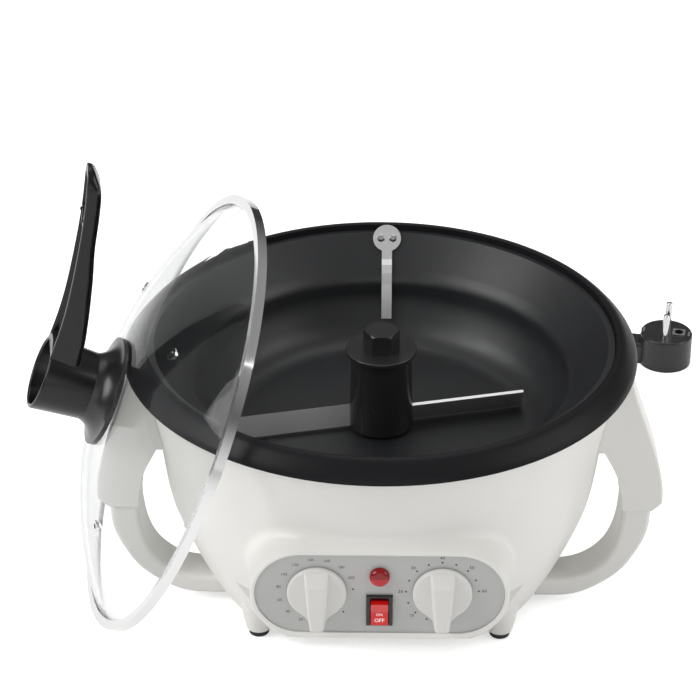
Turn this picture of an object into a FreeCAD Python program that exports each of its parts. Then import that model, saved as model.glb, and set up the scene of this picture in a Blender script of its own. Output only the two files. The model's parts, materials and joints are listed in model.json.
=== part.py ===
"""Home coffee bean roaster, built as separate named pieces.

Units are millimetres, +Z is up, the control pod faces -Y.  The origin is on
the pan's axis at worktop level.  Every piece is written to parts/NODE.step.
"""

import FreeCAD, Part
import math
import os

V = FreeCAD.Vector

# ---------------------------------------------------------------- clearances
SEAT = 0.1                # gap between two pieces that are clipped together
RUN = 0.05                # radial gap of a shaft in its bore
FREE = 0.4                # gap between moving bodies
WALL = 2.5                # moulded wall
FAR = 400.0               # reach of a trimming block, longer than the part

# ------------------------------------------------------------------- housing
HOUSING_PROFILE = [
    (104.0, 12.0),
    (108.5, 19.0),
    (115.6, 33.5),
    (122.0, 49.0),
    (129.0, 69.0),
    (133.5, 99.0),
    (138.5, 130.0),
    (146.9, 160.5),
]
BASE_Z = HOUSING_PROFILE[0][1]
HOUSING_TOP_R, HOUSING_TOP = HOUSING_PROFILE[-1]
FLAT_Y = -88.0            # flat wall under the pod
FLAT_TOP = 50.0
POD_FRONT = -142.5
POD_Z = 79.8
POD_W = 146.0
POD_H = 59.6
POD_ROOT_Y = -96.0
POD_ROOT_GROW = 5.0
POD_BLEND = 6.0           # radius where the pod runs into the shell
RIM_SIDE = 2.4            # pod rim round the plate
RIM_TOP = 2.1
RIM_LOW = 4.3
PLATE_W = POD_W - 2 * RIM_SIDE
PLATE_H = POD_H - RIM_TOP - RIM_LOW
PLATE_Z = POD_Z + (RIM_LOW - RIM_TOP) / 2
PLATE_T = 1.5
PLATE_RECESS = 0.8
PLATE_LAND = 3.5          # width of the seat behind the plate's edge
POD_LIP = 2.5
POD_EDGE = 1.2
GLAND_Z = 30.0
GLAND_R = 7.5

# ----------------------------------------------------------- base, legs, feet
BASE_T = 2.5
TRAY_INSET = 0.5
BASE_R = HOUSING_PROFILE[0][0] - TRAY_INSET
SPIGOT_H = 5.0
LEG_X = 73.0
LEG_Y = 70.0
LEG_R = 7.6
LEG_SEAM_R = 9.4          # leg radius where tray and shell meet
LEG_TOP_R = 12.6          # leg radius where it has run into the shell
LEG_TOP = 36.0
FOOT_R = 6.15
FOOT_H = 4.5
FOOT_EDGE = 1.0
POST_R = 4.0
POST_X = 52.0
POST_Y = 52.0
SLOT_W = 4.0
SLOT_L = 46.0
SLOT_PITCH = 9.0
SLOT_COUNT = 7

# --------------------------------------------------------------- side handles
HANDLE_Y0 = -40.0
HANDLE_Y1 = -13.0
HANDLE_EDGE = 3.0
HANDLE_ROOT_X = 118.0
HANDLE_OUTER = [
    (94.0, 6.0),
    (107.0, 6.0),
    (120.6, 7.6),
    (130.0, 11.6),
    (141.5, 19.5),
    (149.0, 27.0),
    (155.7, 38.0),
    (160.6, 49.0),
    (163.0, 60.0),
    (163.4, 72.0),
    (163.2, 85.0),
    (158.0, 105.0),
    (152.5, 125.0),
    (147.5, 143.0),
    (143.6, 160.2),
]
HANDLE_INNER = [
    (133.0, 112.0),
    (137.0, 104.5),
    (141.0, 96.0),
    (144.3, 84.0),
    (145.8, 72.0),
    (145.4, 59.0),
    (142.8, 45.0),
    (138.2, 34.5),
    (130.5, 26.0),
    (121.0, 20.6),
    (110.0, 18.4),
    (94.0, 18.0),
]
CAP_BOTTOM = 71.0
CAP_SIDE = 1.6
CAP_EDGE = 1.5
CAP_OUTER = [
    (166.6, 55.0),
    (169.2, 70.0),
    (169.7, 82.0),
    (168.4, 93.0),
    (162.8, 114.0),
    (156.9, 131.0),
    (151.0, 148.0),
    (147.4, 160.2),
]

# --------------------------------------------------------------------- collar
CREST_Z = 172.0
COLLAR_LIP = 0.3          # upright edge at the foot of the slope
COLLAR_OVERHANG = 5.7
COLLAR_R = HOUSING_TOP_R + COLLAR_OVERHANG
COLLAR_WALL = 13.1
COLLAR_LAND = 1.7         # crest inside the slope
THROAT_R = COLLAR_R - COLLAR_WALL
CREST_R = THROAT_R + COLLAR_LAND
COLLAR_SLOPE = [          # shares of the slope: in from the rim, down from the crest
    (1.0, 0.0),
    (0.8, 0.06),
    (0.35, 0.46),
    (0.09, 0.79),
    (0.0, 1.0),
]
LEDGE_DROP = 5.5
LEDGE_Z = CREST_Z - LEDGE_DROP
LEDGE_W = 3.3
LEDGE_R = THROAT_R - LEDGE_W
LEDGE_T = 2.2
SKIRT_H = 4.5
SKIRT_T = 2.4
SKIRT_DRAFT = 0.36        # slope of the shell wall at its top

# ------------------------------------------------------------------------ pan
PAN_T = 1.4
PAN_FLOOR = 106.0
PAN_LIP_GAP = 0.3         # lip to the collar's throat
PAN_LIP_R = THROAT_R - PAN_LIP_GAP
PAN_SIDE = [              # in from the lip, up from the floor
    (53.2, 0.0),
    (44.2, 1.6),
    (37.2, 6.6),
    (31.6, 15.6),
    (26.6, 30.0),
    (21.2, 44.8),
]
PAN_WALL = [(PAN_LIP_R - a, PAN_FLOOR + b) for a, b in PAN_SIDE]
BOSS_R = 9.2
BOSS_TOP = 122.0
BUSH_R = 7.2
BUSH_LENGTH = 18.0

# --------------------------------------------------------- heat and the drive
REFLECTOR_Z = 84.0
REFLECTOR_REACH = 14.0    # past the pan's flat floor
REFLECTOR_R = PAN_WALL[0][0] + REFLECTOR_REACH
REFLECTOR_T = 0.8
REFLECTOR_RISE = 9.0
REFLECTOR_HOLE = 7.0
ELEMENT_R = 78.0
ELEMENT_D = 8.0
ELEMENT_GAP = 24.0        # degrees between the two ends
ELEMENT_DROP = 30.0
CUTOUT_R = 9.0
CUTOUT_H = 7.0
CUTOUT_POS = (30.0, 30.0)
BRACKET_Z = 62.0
BRACKET_T = 1.6
BRACKET_W = 34.0
GEARBOX = (60.0, 44.0, 18.0)
MOTOR_R = 25.0
MOTOR_H = 24.0
SHAFT_R = 4.0
SHAFT_BOTTOM = 50.0
HUB_TOP = 157.0

# -------------------------------------------------------------------- stirrer
HUB_R = 18.2
HUB_FLARE = 1.2
HUB_BOTTOM = 107.4
HUB_RELIEF_R = 10.4
HUB_RELIEF_TOP = 124.0
DISC_R = 21.3
DISC_T = 2.4
HEX_AF = 19.0
HEX_H = 12.4
HEX_EDGE = 1.2
ARM_T = 2.0
ARM_H = 13.0
ARM_Z = 107.5
ARM_R = 90.0
ARM_TILT = 20.0
ARM_SWEEP = 14.0

# ---------------------------------------------------------------- bean baffle
BAFFLE_X = 3.0
BAFFLE_T = 1.2
BAFFLE_HEAD_R = 9.0
BAFFLE_HEAD_UP = 14.0     # head centre above the start of the pan's sloping rim
BAFFLE_W = 6.5
BAFFLE_GAP = 0.65
BAFFLE_SIDE = [           # in from the pan's lip, up from its floor
    (9.4, 57.8),
    (18.0, 49.2),
    (21.8, 46.9),
    (24.6, 43.0),
    (26.8, 36.0),
    (30.2, 26.6),
    (34.2, 15.0),
]
BAFFLE_PATH = [(PAN_LIP_R - a, PAN_FLOOR + b) for a, b in BAFFLE_SIDE]
RIVET_R = 1.6
RIVET_HEAD_R = 2.6
RIVET_PITCH = 7.6

# -------------------------------------------------------------------- controls
KNOB_INSET = 35.2         # knob axis from the plate's end
KNOB_X = PLATE_W / 2 - KNOB_INSET
KNOB_UP = 1.4             # knob axis above the plate's centre line
KNOB_Z = PLATE_Z + KNOB_UP
KNOB_R = 16.8
SKIRT_DEPTH = 2.6
SKIRT_EDGE = 1.1
GRIP_W = 13.5
GRIP_TIP_W = 9.5
GRIP_REACH = 23.0
GRIP_TOP = 13.4           # end of the grip above the axis
GRIP_WAIST = 8.2          # where its sides begin to close in, below the axis
GRIP_DEPTH = 9.2
KNOB_SHAFT_R = 3.0
SHAFT_DEPTH = 14.0
BODY_DEPTH = 24.0
STAT_R = 17.0
TIMER_W = 42.0
TIMER_H = 35.0
LAMP_R = 5.75
LAMP_UP = 12.4
LAMP_Z = PLATE_Z + LAMP_UP
LAMP_TAIL = 12.0
LAMP_DOME = 3.0
LAMP_RIM = 1.2
SWITCH_W = 15.0
SWITCH_H = 20.4
SWITCH_DOWN = 10.7
SWITCH_Z = PLATE_Z - SWITCH_DOWN
SWITCH_FLANGE = 2.0
SWITCH_BODY = (13.0, 18.8)
SWITCH_DEPTH = 16.0
ROCKER_W = 9.8
ROCKER_H = 15.8
ROCKER_PROUD = 2.6
ROCKER_TILT = 7.0
PIVOT_R = 1.2
PIVOT_DEPTH = 3.4
BLOCK = (34.0, 18.0, 14.0)
BLOCK_POS = (-34.0, 62.0)

# ------------------------------------------------------------------------- lid
LID_REST_GAP = 0.3        # glass to the collar's shoulder
LID_REST_TURN = 11.5      # degrees, resting point turned from -X towards -Y
LID_AZIMUTH = 9.0         # degrees, outward normal turned from -X towards -Y
LID_LEAN = 24.0           # degrees, outward normal above the worktop
LID_R = 135.5
BAND_T = 0.8
BAND_LIP = 5.0
DOME_H = 41.2
DOME_INSET = 5.5          # dome's foot inside the band
DOME_R = LID_R - DOME_INSET
GLASS_T = 3.5
BAND_H = GLASS_T + BAND_T + 0.5
VENT_R = 2.8
VENT_HOLE_R = 1.6
VENT_RING = 80.0
VENTS = [(60.0, "top"), (-138.0, "low"), (-39.0, "side")]
BASE_FLARE_R = 33.0
BASE_NECK_R = 20.5
BASE_H = 11.0             # neck above the dome's crown
BASE_NECK_Z = DOME_H + BASE_H
BASE_CURVE = [            # flared foot: radius, height above the crown
    (BASE_FLARE_R, 0.3),
    (27.0, 2.0),
    (22.5, 5.8),
    (BASE_NECK_R, BASE_H),
]
CUP_R = 22.5
CUP_WALL = 2.6
CUP_TOP = DOME_H + 41.0
CUP_FLOOR = DOME_H + 27.5
ARM_WIDTH = 29.0
ARM_TIP_WIDTH = 24.0
ARM_TIP_ROUND = 2.6
ARM_TOP = [               # outer face: along the lid, height above the crown
    (0.0, 41.0),
    (24.0, 41.2),
    (50.0, 43.4),
    (82.0, 48.8),
    (108.0, 54.4),
    (133.0, 61.3),
]
ARM_UNDER = [             # inner face, from the tip back to the cup
    (133.5, 56.6),
    (126.0, 50.6),
    (112.0, 46.0),
    (90.0, 40.6),
    (70.0, 34.4),
    (44.0, 27.4),
    (20.0, 22.4),
    (0.0, 21.4),
]
CHANNEL = (10.0, 103.0, 19.0, 4.0)       # from, to, width, depth
THUMB_SCOOP = (107.0, 129.0, 17.0, 5.0)
LID_SCREW_R = 5.0
LID_SCREW_IN = 14.0
LID_HEAD_H = 2.2

# ------------------------------------------------------------------------ cord
CORD_R = 3.5
GLAND_L = 28.0
GLAND_SEAT = HOUSING_PROFILE[2][0] + 3.4
GLAND_OUT = GLAND_SEAT + GLAND_L
GLAND_TIP_R = 4.6
GLAND_FLANGE_R = 10.5
GLAND_FLANGE_T = 2.0
GLAND_NECK = 12.0
COIL_X = 37.5
COIL_Y = 235.0
COIL_R = 37.5
COIL_HALF = 10.8
COIL_H = 15.0
TIE_W = 7.0
TIE_T = 1.2
PLUG_X = 207.0
PLUG_Y = 262.0
PLUG_TURN = 12.0
PLUG_R = 18.8
PLUG_H = 24.0
PLUG_ENTRY_Z = 8.0
RELIEF_START = 14.0
RELIEF_END = 60.0
RELIEF_R = 7.4
RELIEF_RIBS = 6
PIN_R = 2.4
PIN_L = 19.0
PIN_PITCH = 19.0
CLIP_W = 7.0
CLIP_T = 1.6
CONTACT = 9.0

LEAD_ROUTE = [
    (0.0, GLAND_OUT, GLAND_Z),
    (0.0, 169.0, GLAND_Z),
    (0.0, 201.0, 9.0),
    (0.0, 233.0, 7.5),
]


# ------------------------------------------------------------------- utilities
def save(shape, name):
    """Write one piece and report it."""
    os.makedirs("parts", exist_ok=True)
    shape.exportStep("parts/" + name + ".step")
    print(name, "solids", len(shape.Solids), "valid", shape.isValid(), "mm3", round(shape.Volume, 1))


def cyl(radius, z0, z1, x=0.0, y=0.0):
    """Upright cylinder from z0 to z1."""
    return Part.makeCylinder(radius, z1 - z0, V(x, y, z0))


def cyl_y(radius, y0, y1, x, z):
    """Cylinder along +Y from y0 to y1."""
    return Part.makeCylinder(radius, y1 - y0, V(x, y0, z), V(0, 1, 0))


def cone(r0, r1, z0, z1, x=0.0, y=0.0):
    """Upright cone from z0 to z1."""
    return Part.makeCone(r0, r1, z1 - z0, V(x, y, z0))


def box(x0, x1, y0, y1, z0, z1):
    """Axis-aligned box between two corners."""
    return Part.makeBox(x1 - x0, y1 - y0, z1 - z0, V(x0, y0, z0))


def spline(points):
    """Smooth edge through points."""
    curve = Part.BSplineCurve()
    curve.interpolate(points)
    return curve.toShape()


def line(a, b):
    """Straight edge."""
    return Part.makeLine(a, b)


def rz(points):
    """(r, z) pairs as vectors in the XZ plane."""
    return [V(r, 0, z) for r, z in points]


def chain(points):
    """Straight edges through (r, z) pairs."""
    nodes = rz(points)
    return [line(nodes[i], nodes[i + 1]) for i in range(len(nodes) - 1)]


def revolve(edges):
    """Full turn of a closed profile about the Z axis."""
    face = Part.Face(Part.Wire(edges))
    return face.revolve(V(0, 0, 0), V(0, 0, 1), 360.0)


def polygon(points):
    """Closed face through points."""
    return Part.Face(Part.makePolygon(points + [points[0]]))


def shifted(points, distance):
    """(r, z) pairs moved along the profile's left-hand normal."""
    moved = []
    last = len(points) - 1
    for index, (r, z) in enumerate(points):
        r0, z0 = points[max(index - 1, 0)]
        r1, z1 = points[min(index + 1, last)]
        length = math.hypot(r1 - r0, z1 - z0)
        moved.append((r - distance * (z1 - z0) / length, z + distance * (r1 - r0) / length))
    return moved


def solid_under(points):
    """Solid of revolution filled from a profile in to the Z axis."""
    low = points[0]
    high = points[-1]
    edges = [
        spline(rz(points)),
        line(V(high[0], 0, high[1]), V(0, 0, high[1])),
        line(V(0, 0, high[1]), V(0, 0, low[1])),
        line(V(0, 0, low[1]), V(low[0], 0, low[1])),
    ]
    return revolve(edges)


def stadium(width, height, y, z):
    """Face of a slot shape in a plane of constant y."""
    radius = height / 2
    reach = width / 2 - radius
    top_left = V(-reach, y, z + radius)
    top_right = V(reach, y, z + radius)
    low_left = V(-reach, y, z - radius)
    low_right = V(reach, y, z - radius)
    right = Part.Arc(top_right, V(reach + radius, y, z), low_right).toShape()
    left = Part.Arc(low_left, V(-reach - radius, y, z), top_left).toShape()
    return Part.Wire([line(top_left, top_right), right, line(low_right, low_left), left])


def stadium_block(width, height, y0, y1, z):
    """Slot-shaped block centred on height z between y0 and y1."""
    return Part.Face(stadium(width, height, y0, z)).extrude(V(0, y1 - y0, 0))


def mirror_x(shape):
    """Copy of a shape on the other side of the YZ plane."""
    return shape.mirror(V(0, 0, 0), V(1, 0, 0))


def tube(points, radius):
    """Round cord through points: straight runs joined by tangent arcs."""
    nodes = [V(*p) for p in points]
    edges = []
    start = nodes[0]
    for index in range(1, len(nodes) - 1):
        before = nodes[index - 1]
        here = nodes[index]
        after = nodes[index + 1]
        way_in = (here - before).normalize()
        way_out = (after - here).normalize()
        half = way_in.getAngle(way_out) / 2
        shorter = min((here - before).Length, (after - here).Length)
        bend = 0.45 * shorter / math.tan(half)
        cut = 0.45 * shorter
        first = here - way_in * cut
        second = here + way_out * cut
        inward = (way_out - way_in).normalize()
        centre = here + inward * (bend / math.cos(half))
        middle = centre - inward * bend
        edges.append(line(start, first))
        edges.append(Part.Arc(first, middle, second).toShape())
        print("  arc radius", round(bend, 1), "turn", round(math.degrees(2 * half), 1))
        start = second
    edges.append(line(start, nodes[-1]))
    path = Part.Wire(edges)
    across = (nodes[1] - nodes[0]).normalize()
    ring = Part.Wire(Part.makeCircle(radius, nodes[0], across))
    swept = path.makePipeShell([ring], True, True)
    expected = math.pi * radius ** 2 * path.Length
    print("  length", round(path.Length, 1), "volume ratio", round(swept.Volume / expected, 4))
    return swept


# --------------------------------------------------------------------- housing
def housing_outside():
    """Filled outer form of the shell with the pod and the flat under it."""
    form = solid_under(HOUSING_PROFILE)
    form = form.cut(box(-FAR, FAR, -FAR, FLAT_Y, 0, FLAT_TOP))
    front = stadium(POD_W, POD_H, POD_FRONT, POD_Z)
    back = stadium(POD_W + 2 * POD_ROOT_GROW, POD_H + POD_ROOT_GROW, POD_ROOT_Y, POD_Z)
    pod = Part.makeLoft([front, back], True, True)
    form = form.fuse(pod).removeSplitter()
    form = form.makeFillet(POD_BLEND, [e for e in form.Edges if is_pod_root(e)])
    for x, y in leg_places():
        form = form.fuse(cone(LEG_SEAM_R, LEG_TOP_R, BASE_Z, LEG_TOP, x, y))
    return form.removeSplitter()


def is_pod_root(edge):
    """True for the top edge where the pod meets the shell; the fillet runs on from it."""
    bounds = edge.BoundBox
    between = bounds.YMin > POD_FRONT + 1 and bounds.YMax < POD_ROOT_Y + 1
    return between and bounds.ZMin > FLAT_TOP + 0.5 and edge.Length > POD_BLEND


def leg_places():
    """Centres of the four legs, front left, front right, rear left, rear right."""
    return [(x, y) for y in (-LEG_Y, LEG_Y) for x in (-LEG_X, LEG_X)]


def housing_inside():
    """Filled inner form of the shell."""
    inner = shifted(HOUSING_PROFILE, WALL)
    inner[0] = (inner[0][0], BASE_Z)
    inner[-1] = (inner[-1][0], HOUSING_TOP)
    form = solid_under(inner)
    form = form.cut(box(-FAR, FAR, -FAR, FLAT_Y + WALL, 0, FLAT_TOP + WALL))
    lip_back = POD_FRONT + PLATE_RECESS + PLATE_T + POD_LIP
    pod = stadium_block(POD_W - 2 * WALL, POD_H - 2 * WALL, lip_back, POD_ROOT_Y, POD_Z)
    return form.fuse(pod)


def build_housing(outside):
    """White shell: revolved wall, pod, plate recess and cord hole."""
    shell = outside.cut(housing_inside())
    seat = POD_FRONT + PLATE_RECESS + PLATE_T
    shell = shell.cut(stadium_block(PLATE_W + 2 * SEAT, PLATE_H + 2 * SEAT, POD_FRONT - 1, seat, PLATE_Z))
    land = 2 * PLATE_LAND
    back = seat + POD_LIP + 1
    shell = shell.cut(stadium_block(PLATE_W - land, PLATE_H - land, POD_FRONT, back, PLATE_Z))
    shell = shell.cut(cyl_y(GLAND_R + SEAT, BASE_R - 4 * WALL, FAR, 0, GLAND_Z))
    rim = [e for e in shell.Edges if is_pod_rim(e)]
    return shell.makeFillet(POD_EDGE, rim)


def is_pod_rim(edge):
    """True for the outer edges of the pod's front face."""
    bounds = edge.BoundBox
    flat = abs(bounds.YMin - POD_FRONT) < 0.01 and abs(bounds.YMax - POD_FRONT) < 0.01
    outermost = max(abs(bounds.XMin), abs(bounds.XMax)) > POD_W / 2 - 0.1
    highest = abs(bounds.ZMax - POD_Z - POD_H / 2) < 0.1 and bounds.ZLength < 0.1
    lowest = abs(bounds.ZMin - POD_Z + POD_H / 2) < 0.1 and bounds.ZLength < 0.1
    return flat and (outermost or highest or lowest)


def build_base():
    """Base tray: disc, spigot, legs, posts and air slots."""
    bottom = BASE_Z - BASE_T
    tray = cyl(BASE_R, bottom, BASE_Z)
    tray = tray.cut(box(-FAR, FAR, -FAR, FLAT_Y + TRAY_INSET, 0, BASE_Z))
    spigot_r = HOUSING_PROFILE[0][0] - WALL - 4 * TRAY_INSET
    spigot = cyl(spigot_r, BASE_Z, BASE_Z + SPIGOT_H)
    spigot = spigot.cut(cyl(spigot_r - WALL, BASE_Z, BASE_Z + SPIGOT_H))
    spigot = spigot.cut(box(-FAR, FAR, -FAR, FLAT_Y + WALL + 2 * TRAY_INSET, 0, FLAT_TOP))
    tray = tray.fuse(spigot)
    for x, y in leg_places():
        tray = tray.fuse(cone(LEG_R, LEG_SEAM_R, FOOT_H, BASE_Z, x, y))
    for x in (-POST_X, POST_X):
        tray = tray.fuse(cyl(POST_R, BASE_Z, BRACKET_Z, x, 0))
    for y in (-POST_Y, POST_Y):
        tray = tray.fuse(cyl(POST_R, BASE_Z, REFLECTOR_Z, 0, y))
        tray = tray.fuse(cyl(POST_R, BASE_Z, REFLECTOR_Z, y, y))
    first = -SLOT_PITCH * (SLOT_COUNT - 1) / 2
    for index in range(SLOT_COUNT):
        x = first + index * SLOT_PITCH
        tray = tray.cut(box(x - SLOT_W / 2, x + SLOT_W / 2, -SLOT_L / 2, SLOT_L / 2, 0, BASE_Z + 1))
    return tray.removeSplitter()


def build_foot(x, y):
    """Rubber foot pad under one leg."""
    foot = cyl(FOOT_R, 0, FOOT_H, x, y)
    low = [e for e in foot.Edges if e.BoundBox.ZMax < 0.01]
    return foot.makeFillet(FOOT_EDGE, low)


# --------------------------------------------------------------------- handles
def smooth_loop(outer, low_corners, y0, y1):
    """Block between an outer (x, z) curve and the loop's inner curve."""
    top = outer[-1][1]
    inner = HANDLE_INNER
    edges = [spline([V(x, y0, z) for x, z in outer]), spline([V(x, y0, z) for x, z in inner])]
    upper = [outer[-1], (HANDLE_ROOT_X, top), (HANDLE_ROOT_X, inner[0][1]), inner[0]]
    lower = [inner[-1]] + low_corners + [outer[0]]
    for corners in (upper, lower):
        nodes = [V(x, y0, z) for x, z in corners]
        edges += [line(nodes[i], nodes[i + 1]) for i in range(len(nodes) - 1)]
    wire = Part.Wire(Part.__sortEdges__(edges))
    return Part.Face(wire).extrude(V(0, y1 - y0, 0))


def long_edges(shape, y):
    """Edges that lie in a plane of constant y and are not short."""
    picked = []
    for edge in shape.Edges:
        bounds = edge.BoundBox
        if abs(bounds.YMin - y) < 0.01 and abs(bounds.YMax - y) < 0.01 and edge.Length > 60:
            picked.append(edge)
    return picked


def build_handle(outside):
    """Right-hand carrying loop, trimmed to the shell."""
    loop = smooth_loop(HANDLE_OUTER, [], HANDLE_Y0, HANDLE_Y1)
    edges = long_edges(loop, HANDLE_Y0) + long_edges(loop, HANDLE_Y1)
    loop = loop.makeFillet(HANDLE_EDGE, edges)
    loop = loop.cut(outside).cut(cyl(BASE_R + SEAT, 0, BASE_Z))
    return max(loop.Solids, key=lambda s: s.Volume)


def build_handle_cap(outside):
    """Thicker cover over the upper half of the right-hand loop."""
    y0 = HANDLE_Y0 - CAP_SIDE
    y1 = HANDLE_Y1 + CAP_SIDE
    low_corners = [(HANDLE_INNER[-1][0], 0.0), (CAP_OUTER[0][0] - 2, 0.0)]
    block = smooth_loop(CAP_OUTER, low_corners, y0, y1)
    block = block.cut(box(0, FAR, 2 * y0, FAR, -FAR, CAP_BOTTOM))
    corner = [
        V(HANDLE_OUTER[9][0], 2 * y0, CAP_BOTTOM),
        V(CAP_OUTER[2][0] + 5, 2 * y0, CAP_BOTTOM),
        V(CAP_OUTER[2][0] + 5, 2 * y0, CAP_OUTER[2][1]),
    ]
    block = block.cut(polygon(corner).extrude(V(0, -3 * y0, 0)))
    cap = block.cut(smooth_loop(HANDLE_OUTER, [], HANDLE_Y0, HANDLE_Y1)).cut(outside)
    cap = max(cap.Solids, key=lambda s: s.Volume)
    return cap.makeFillet(CAP_EDGE, long_edges(cap, y0) + long_edges(cap, y1))


# ------------------------------------------------------------- collar and pan
def build_collar():
    """Black rim ring that sits on the shell and carries the pan."""
    low = HOUSING_TOP
    wall_in = shifted(HOUSING_PROFILE, WALL)[-1][0]
    skirt_out = wall_in - SKIRT_H * SKIRT_DRAFT - SEAT
    skirt_in = skirt_out - SKIRT_T
    width = COLLAR_R - CREST_R
    height = CREST_Z - low - COLLAR_LIP
    slope = [(COLLAR_R - a * width, CREST_Z - b * height) for a, b in COLLAR_SLOPE]
    corners = [
        slope[-1],
        (COLLAR_R, low),
        (skirt_out, low),
        (skirt_out, low - SKIRT_H),
        (skirt_in, low - SKIRT_H),
        (skirt_in, low),
        (LEDGE_R, LEDGE_Z - LEDGE_T),
        (LEDGE_R, LEDGE_Z),
        (THROAT_R, LEDGE_Z),
        (THROAT_R + COLLAR_LIP, CREST_Z - 2 * COLLAR_LIP),
        slope[0],
    ]
    return revolve([spline(rz(slope))] + chain(corners))


def pan_curve(points):
    """Bowl wall profile that ends straight into the rim."""
    nodes = rz(points)
    curve = Part.BSplineCurve()
    slope = rz([(1.0, 1.0)])[0]
    curve.interpolate(Points=nodes, InitialTangent=V(1, 0, 0), FinalTangent=slope)
    return curve.toShape()


def build_pan():
    """Non-stick bowl with a lip and a sleeve for the bush."""
    root = math.sqrt(0.5) * PAN_T
    inner = PAN_WALL
    outer = shifted(PAN_WALL, -PAN_T)
    outer[0] = (PAN_WALL[0][0], PAN_FLOOR - PAN_T)
    outer[-1] = (PAN_WALL[-1][0] + root, PAN_WALL[-1][1] - root)
    lip_low = LEDGE_Z
    lip_top = LEDGE_Z + PAN_T
    rim_r = inner[-1][0] + (lip_top - inner[-1][1])
    under_r = outer[-1][0] + (lip_low - outer[-1][1])
    lip = [
        inner[-1],
        (rim_r, lip_top),
        (PAN_LIP_R, lip_top),
        (PAN_LIP_R, lip_low),
        (under_r, lip_low),
        outer[-1],
    ]
    floor = [
        outer[0],
        (BUSH_R, PAN_FLOOR - PAN_T),
        (BUSH_R, BOSS_TOP),
        (BOSS_R, BOSS_TOP),
        (BOSS_R, PAN_FLOOR),
        inner[0],
    ]
    pan = revolve([pan_curve(inner)] + chain(lip) + [pan_curve(outer)] + chain(floor))
    for side in (-1, 1):
        pan = pan.cut(rivet_shank(side, RIVET_R + RUN))
    return pan


def build_bush():
    """Bronze bearing in the pan's sleeve."""
    top = BOSS_TOP
    return cyl(BUSH_R, top - BUSH_LENGTH, top).cut(cyl(SHAFT_R + RUN, top - BUSH_LENGTH, top))


# --------------------------------------------------------------- heat and drive
def build_reflector():
    """Shallow steel dish under the element."""
    top = REFLECTOR_Z + REFLECTOR_T
    high = top + REFLECTOR_RISE
    profile = [
        (REFLECTOR_HOLE, REFLECTOR_Z),
        (REFLECTOR_R - REFLECTOR_RISE, REFLECTOR_Z),
        (REFLECTOR_R, high - REFLECTOR_T),
        (REFLECTOR_R, high),
        (REFLECTOR_R - REFLECTOR_RISE, top),
        (REFLECTOR_HOLE, top),
    ]
    dish = polygon(rz(profile)).revolve(V(0, 0, 0), V(0, 0, 1), 360.0)
    for angle in (-ELEMENT_GAP / 2, ELEMENT_GAP / 2):
        a = math.radians(90 + angle)
        x = ELEMENT_R * math.cos(a)
        y = ELEMENT_R * math.sin(a)
        dish = dish.cut(cyl(ELEMENT_D / 2 + 1, REFLECTOR_Z - 1, top + 1, x, y))
    return dish


def build_element():
    """Sheathed heating ring with two legs through the reflector."""
    z = REFLECTOR_Z + REFLECTOR_T + ELEMENT_D / 2
    ring = Part.makeTorus(ELEMENT_R, ELEMENT_D / 2, V(0, 0, z), V(0, 0, 1), -180, 180, 360 - ELEMENT_GAP)
    ring.rotate(V(0, 0, 0), V(0, 0, 1), 90 + ELEMENT_GAP / 2)
    for angle in (-ELEMENT_GAP / 2, ELEMENT_GAP / 2):
        a = math.radians(90 + angle)
        x = ELEMENT_R * math.cos(a)
        y = ELEMENT_R * math.sin(a)
        ring = ring.fuse(cyl(ELEMENT_D / 2, z - ELEMENT_DROP, z, x, y))
        ring = ring.fuse(Part.makeSphere(ELEMENT_D / 2, V(x, y, z)))
    return ring


def build_cutout():
    """Thermal cut-out button under the reflector."""
    x, y = CUTOUT_POS
    return cyl(CUTOUT_R, REFLECTOR_Z - CUTOUT_H, REFLECTOR_Z, x, y)


def build_bracket():
    """Motor bridge between the two tall posts."""
    reach = POST_X + POST_R + 2
    bridge = box(-reach, reach, -BRACKET_W / 2, BRACKET_W / 2, BRACKET_Z, BRACKET_Z + BRACKET_T)
    return bridge.cut(cyl(SHAFT_R + 2, BRACKET_Z, BRACKET_Z + BRACKET_T))


def build_gearbox():
    """Gear case hung under the bridge, with the output bore."""
    x, y, z = GEARBOX
    case = box(-x / 2, x / 2, -y / 2, y / 2, BRACKET_Z - z, BRACKET_Z)
    return case.cut(cyl(SHAFT_R + RUN, SHAFT_BOTTOM, BRACKET_Z))


def build_motor():
    """Synchronous motor can under the gear case."""
    top = BRACKET_Z - GEARBOX[2]
    return cyl(MOTOR_R, top - MOTOR_H, top)


# -------------------------------------------------------------------- stirrer
def build_shaft():
    """Drive shaft from the gear case up through the pan."""
    return cyl(SHAFT_R, SHAFT_BOTTOM + FREE, HUB_TOP)


def build_hub():
    """Black hub that drops over the pan's sleeve."""
    hub = cone(HUB_R + HUB_FLARE, HUB_R, HUB_BOTTOM, HUB_TOP)
    hub = hub.cut(cyl(HUB_RELIEF_R, HUB_BOTTOM, HUB_RELIEF_TOP))
    return hub.cut(cyl(SHAFT_R, HUB_RELIEF_TOP, HUB_TOP))


def build_disc():
    """Clamping disc on the hub."""
    disc = cyl(DISC_R, HUB_TOP, HUB_TOP + DISC_T)
    return disc.makeFillet(0.7, [e for e in disc.Edges if e.BoundBox.ZMin > HUB_TOP + DISC_T - 0.01])


def build_hex_cap():
    """Hexagonal cap nut on the disc."""
    z = HUB_TOP + DISC_T
    radius = HEX_AF / 2 / math.cos(math.radians(30))
    corners = []
    for index in range(6):
        a = math.radians(60 * index)
        corners.append(V(radius * math.cos(a), radius * math.sin(a), z))
    nut = polygon(corners).extrude(V(0, 0, HEX_H))
    dome = cone(radius + HEX_H, radius - HEX_EDGE, z - HEX_EDGE, z + HEX_H)
    return nut.common(dome)


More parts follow.
